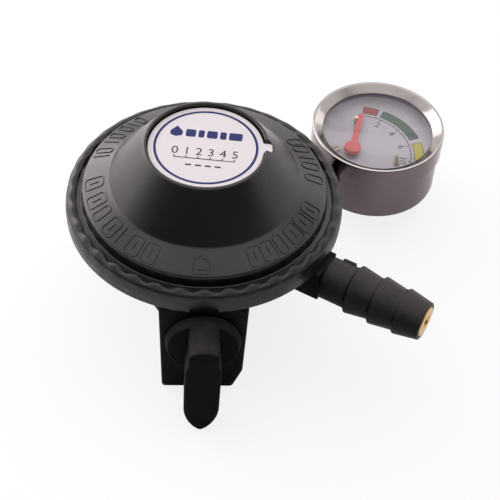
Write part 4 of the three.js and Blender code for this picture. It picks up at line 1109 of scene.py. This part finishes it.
# name, CAD node, look, slot, and the pushed face's height above the node's lowest point
FLEXIBLE = (("shortening_spring", "main_spring", "steel", "spring_steel", 0.0),
            ("flattening_diaphragm", "diaphragm", "rubber", "diaphragm_rubber", 2.0))


def shortened(name, node, kind, slot, pushed):
    """A copy of a CAD node with its finish and a mesh of its own.
    pushed is not used."""
    made = eased(name, node, look(kind), "housing", slot)
    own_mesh(made)
    return made


def dress_inner_parts():
    """Makes the spring and the diaphragm, and gives the CAD nodes that stay their finishes."""
    for flexible in FLEXIBLE:
        shortened(*flexible)
    for name, nodes in INNER_LOOKS.items():
        for node in nodes:
            slots = frame["nodes"][node].data.materials
            slots.clear()
            slots.append(look(name))
    return True


# ---------------------------------------------------------------- stage

CAMERA_AZIMUTH = math.radians(86.0)
CAMERA_PITCH = math.radians(47.84)
CAMERA_ROLL = math.radians(3.76)
CAMERA_FROM_AXIS = np.array([-5.316, -268.54, 314.55])
CAMERA_LENS, CAMERA_SENSOR, CAMERA_END = 100.8, 36.0, 50.0


def build_camera():
    """The camera, looking forward = (cos a cos p, sin a cos p, -sin p) and rolled about that line."""
    a, p, r = CAMERA_AZIMUTH, CAMERA_PITCH, CAMERA_ROLL
    ahead = np.array([math.cos(a) * math.cos(p), math.sin(a) * math.cos(p), -math.sin(p)])
    right = np.array([math.sin(a), -math.cos(a), 0.0])
    up = np.cross(right, ahead)
    rolled = math.cos(r) * right + math.sin(r) * up
    upward = math.cos(r) * up - math.sin(r) * right
    data = bpy.data.cameras.new("camera")
    data.lens = CAMERA_LENS
    data.sensor_width = CAMERA_SENSOR
    data.clip_end = CAMERA_END
    camera = placed("camera", data)
    spot = (AXIS + CAMERA_FROM_AXIS) * MM
    columns = np.column_stack([rolled, upward, -ahead])
    rows = [list(columns[k]) + [spot[k]] for k in range(3)] + [[0, 0, 0, 1]]
    camera.matrix_world = Matrix(rows)
    bpy.context.scene.camera = camera
    return camera


FLOOR_RADIUS, FLOOR_SIDES, FLOOR_DROP = 4, 64, 0.00004
FLOOR_WHITE = 0.82  # share of plain white that the camera sees on the floor


def build_floor():
    """A wide pale disc just under the object."""
    angle = np.linspace(0, 2 * math.pi, FLOOR_SIDES + 1)[:-1]
    points = np.column_stack([FLOOR_RADIUS * np.cos(angle), FLOOR_RADIUS * np.sin(angle),
                              np.full(FLOOR_SIDES, -FLOOR_DROP)])
    mesh = bpy.data.meshes.new("floor")
    mesh.from_pydata(points.tolist(), [], [list(range(FLOOR_SIDES))])
    material = finish("floor", (0.96, 0.96, 0.96, 1.0), rough=0.85, specular=0.1, spread=0.004, patches=3.0,
                      grain=400.0, grain_height=0.0)
    mesh.materials.append(material)
    tree = material.node_tree
    seen, plain, choose = (add(tree, kind) for kind in ("LightPath", "Emission", "MixShader"))
    share = add(tree, "Math", {1: FLOOR_WHITE}, operation="MULTIPLY")
    wire(tree, (seen, "Is Camera Ray", share, 0), (share, 0, choose, "Fac"),
         (tree.nodes["Principled BSDF"], "BSDF", choose, 1), (plain, "Emission", choose, 2),
         (choose, "Shader", tree.nodes["Material Output"], "Surface"))
    floor = placed("floor", mesh)
    return floor


# azimuth and height of each dark card in degrees, and the cosine of its half width
DARK_CARDS = ((122.0, 50.0, 0.975), (52.0, 42.0, 0.98), (150.0, 20.0, 0.992))


CARD_EDGE = 0.012
ROOM_DARK, ROOM_BRIGHT = (0.10, 0.095, 0.1, 1.0), (0.95, 0.90, 0.905, 1.0)


def build_world():
    """Light from all round, less from low on the camera's side: the level is the higher of
    smoothstep(y) and smoothstep(z), and 0 on the dark cards. Plain white stands behind the object."""
    world = bpy.data.worlds.new("studio")
    bpy.context.scene.world = world
    world.use_nodes = True
    tree = world.node_tree
    tree.nodes.clear()
    place, split = add(tree, "TexCoord"), add(tree, "SeparateXYZ")
    back = add(tree, "MapRange", {"From Min": -0.5, "From Max": 0.1}, interpolation_type="SMOOTHSTEP")
    high = add(tree, "MapRange", {"From Min": 0.62, "From Max": 0.9}, interpolation_type="SMOOTHSTEP")
    level = add(tree, "Math", operation="MAXIMUM")
    wire(tree, (place, "Generated", split, "Vector"), (split, "Y", back, "Value"),
         (split, "Z", high, "Value"), (back, "Result", level, 0), (high, "Result", level, 1))
    for azimuth, rise, cosine in DARK_CARDS:
        a, e = math.radians(azimuth), math.radians(rise)
        way = (math.cos(a) * math.cos(e), math.sin(a) * math.cos(e), math.sin(e))
        toward = add(tree, "VectorMath", {1: way}, operation="DOT_PRODUCT")
        shade = add(tree, "MapRange", {"From Min": cosine, "From Max": cosine + CARD_EDGE, "To Min": 1.0,
                                       "To Max": 0.0})
        both = add(tree, "Math", operation="MULTIPLY")
        wire(tree, (place, "Generated", toward, 0), (toward, "Value", shade, "Value"),
             (level, 0, both, 0), (shade, "Result", both, 1))
        level = both
    mix = add(tree, "Mix", {"A": ROOM_DARK, "B": ROOM_BRIGHT}, data_type="RGBA")
    lit, plain = add(tree, "Background"), add(tree, "Background", {"Color": WHITE})
    seen, choose, out = (add(tree, kind) for kind in ("LightPath", "MixShader", "OutputWorld"))
    wire(tree, (level, 0, mix, "Factor"), (mix, "Result", lit, "Color"),
         (seen, "Is Camera Ray", choose, "Fac"), (lit, "Background", choose, 1),
         (plain, "Background", choose, 2), (choose, "Shader", out, "Surface"))
    return world


# name, place, width and height in metres, and watts
LAMPS = (
    ("overhead", (0.0, 0.5, 1.3), 1.7, 1.3, 6.5),
    ("back left", (-0.70, 0.44, 0.34), 1.0, 0.55, 2.6),
    ("back right", (0.62, 0.60, 0.35), 0.4, 0.4, 0.5),
    ("near left", (-0.22, 0.19, 0.15), 0.25, 0.22, 0.36),
)


LAMP_TARGET = (0.02, 0.0, 0.03)  # from the regulator's axis, in metres
LAMP_COLOUR = (1.0, 0.93, 0.925)


def build_lamps():
    """Soft square lamps, each turned to the object's middle."""
    made = []
    target = Vector(tuple(AXIS * MM)) + Vector(LAMP_TARGET)
    for name, spot, wide, high, watts in LAMPS:
        data = bpy.data.lights.new(name, "AREA")
        data.shape = "RECTANGLE"
        data.size, data.size_y, data.energy = wide, high, watts
        data.color = LAMP_COLOUR
        lamp = placed(name, data)
        lamp.location = spot
        lamp.rotation_euler = (target - Vector(spot)).to_track_quat("-Z", "Y").to_euler()
        made.append(lamp)
    return made


# ---------------------------------------------------------------- operators and panel


class Maker(bpy.types.Operator):
    """Runs an operator's builders in order."""

    builders = ()

    def execute(self, context):
        """Builds every piece, or stops with an error that names the builder."""
        for builder in type(self).builders:
            if not builder():
                raise RuntimeError(builder.__name__ + " made nothing")
        return {"FINISHED"}


class REGULATOR_OT_bonnet(Maker):
    """Build the bonnet and the marks on its skirt"""

    bl_idname = "regulator.bonnet"
    bl_label = "Bonnet"
    builders = (build_bonnet, build_skirt_marks)


class REGULATOR_OT_ring(Maker):
    """Build the crimped ring"""

    bl_idname = "regulator.ring"
    bl_label = "Crimped ring"
    builders = (build_ring,)


class REGULATOR_OT_label(Maker):
    """Build the label and its printing"""

    bl_idname = "regulator.label"
    bl_label = "Label"
    builders = (build_label, build_label_print)


class REGULATOR_OT_handle(Maker):
    """Build the lock's handle"""

    bl_idname = "regulator.handle"
    bl_label = "Handle"
    builders = (build_handle,)


class REGULATOR_OT_tail(Maker):
    """Build the hose tail and its brass insert"""

    bl_idname = "regulator.tail"
    bl_label = "Hose tail"
    builders = (build_nozzle, build_insert)


class REGULATOR_OT_gauge(Maker):
    """Build the gauge's case, bezel, glass, dial and pointer"""

    bl_idname = "regulator.gauge"
    bl_label = "Gauge"
    builders = (build_gauge_shell, build_dial, build_pointer)


class REGULATOR_OT_castings(Maker):
    """Build the lower casting"""

    bl_idname = "regulator.castings"
    bl_label = "Castings"
    builders = (build_castings,)


class REGULATOR_OT_inner(Maker):
    """Give the inner parts their finishes"""

    bl_idname = "regulator.inner"
    bl_label = "Inner parts"
    builders = (dress_inner_parts,)


class REGULATOR_OT_stage(Maker):
    """Build the floor, the light and the camera"""

    bl_idname = "regulator.stage"
    bl_label = "Stage"
    builders = (build_floor, build_world, build_lamps, build_camera)


OPERATORS = (REGULATOR_OT_bonnet, REGULATOR_OT_ring, REGULATOR_OT_label, REGULATOR_OT_handle,
             REGULATOR_OT_tail, REGULATOR_OT_gauge, REGULATOR_OT_castings, REGULATOR_OT_inner,
             REGULATOR_OT_stage)


class REGULATOR_PT_panel(bpy.types.Panel):
    """Lists the builders with their sizes and colours"""

    bl_label = "Gas regulator"
    bl_idname = "REGULATOR_PT_panel"
    bl_space_type = "VIEW_3D"
    bl_region_type = "UI"
    bl_category = "Regulator"

    def draw(self, context):
        """Draws the settings, then one button for each builder."""
        layout = self.layout
        for settings in (context.scene.regulator_sizes, context.scene.regulator_colours):
            column = layout.column(align=True)
            for name in settings.__annotations__:
                column.prop(settings, name)
        for operator in OPERATORS:
            layout.operator(operator.bl_idname)


CLASSES = (RegulatorSizes, RegulatorColours, *OPERATORS, REGULATOR_PT_panel)


def register():
    """Registers the classes and hangs the settings on the scene."""
    for cls in CLASSES:
        bpy.utils.register_class(cls)
    bpy.types.Scene.regulator_sizes = PointerProperty(type=RegulatorSizes)
    bpy.types.Scene.regulator_colours = PointerProperty(type=RegulatorColours)


def unregister():
    """Takes the settings off and unregisters the classes."""
    del bpy.types.Scene.regulator_colours
    del bpy.types.Scene.regulator_sizes
    for cls in reversed(CLASSES):
        bpy.utils.unregister_class(cls)


def main():
    """Builds everything in order."""
    register()
    bpy.context.scene.view_settings.view_transform = "Standard"
    for operator in OPERATORS:
        group, name = operator.bl_idname.split(".")
        getattr(getattr(bpy.ops, group), name)()


if __name__ == "__main__":
    main()
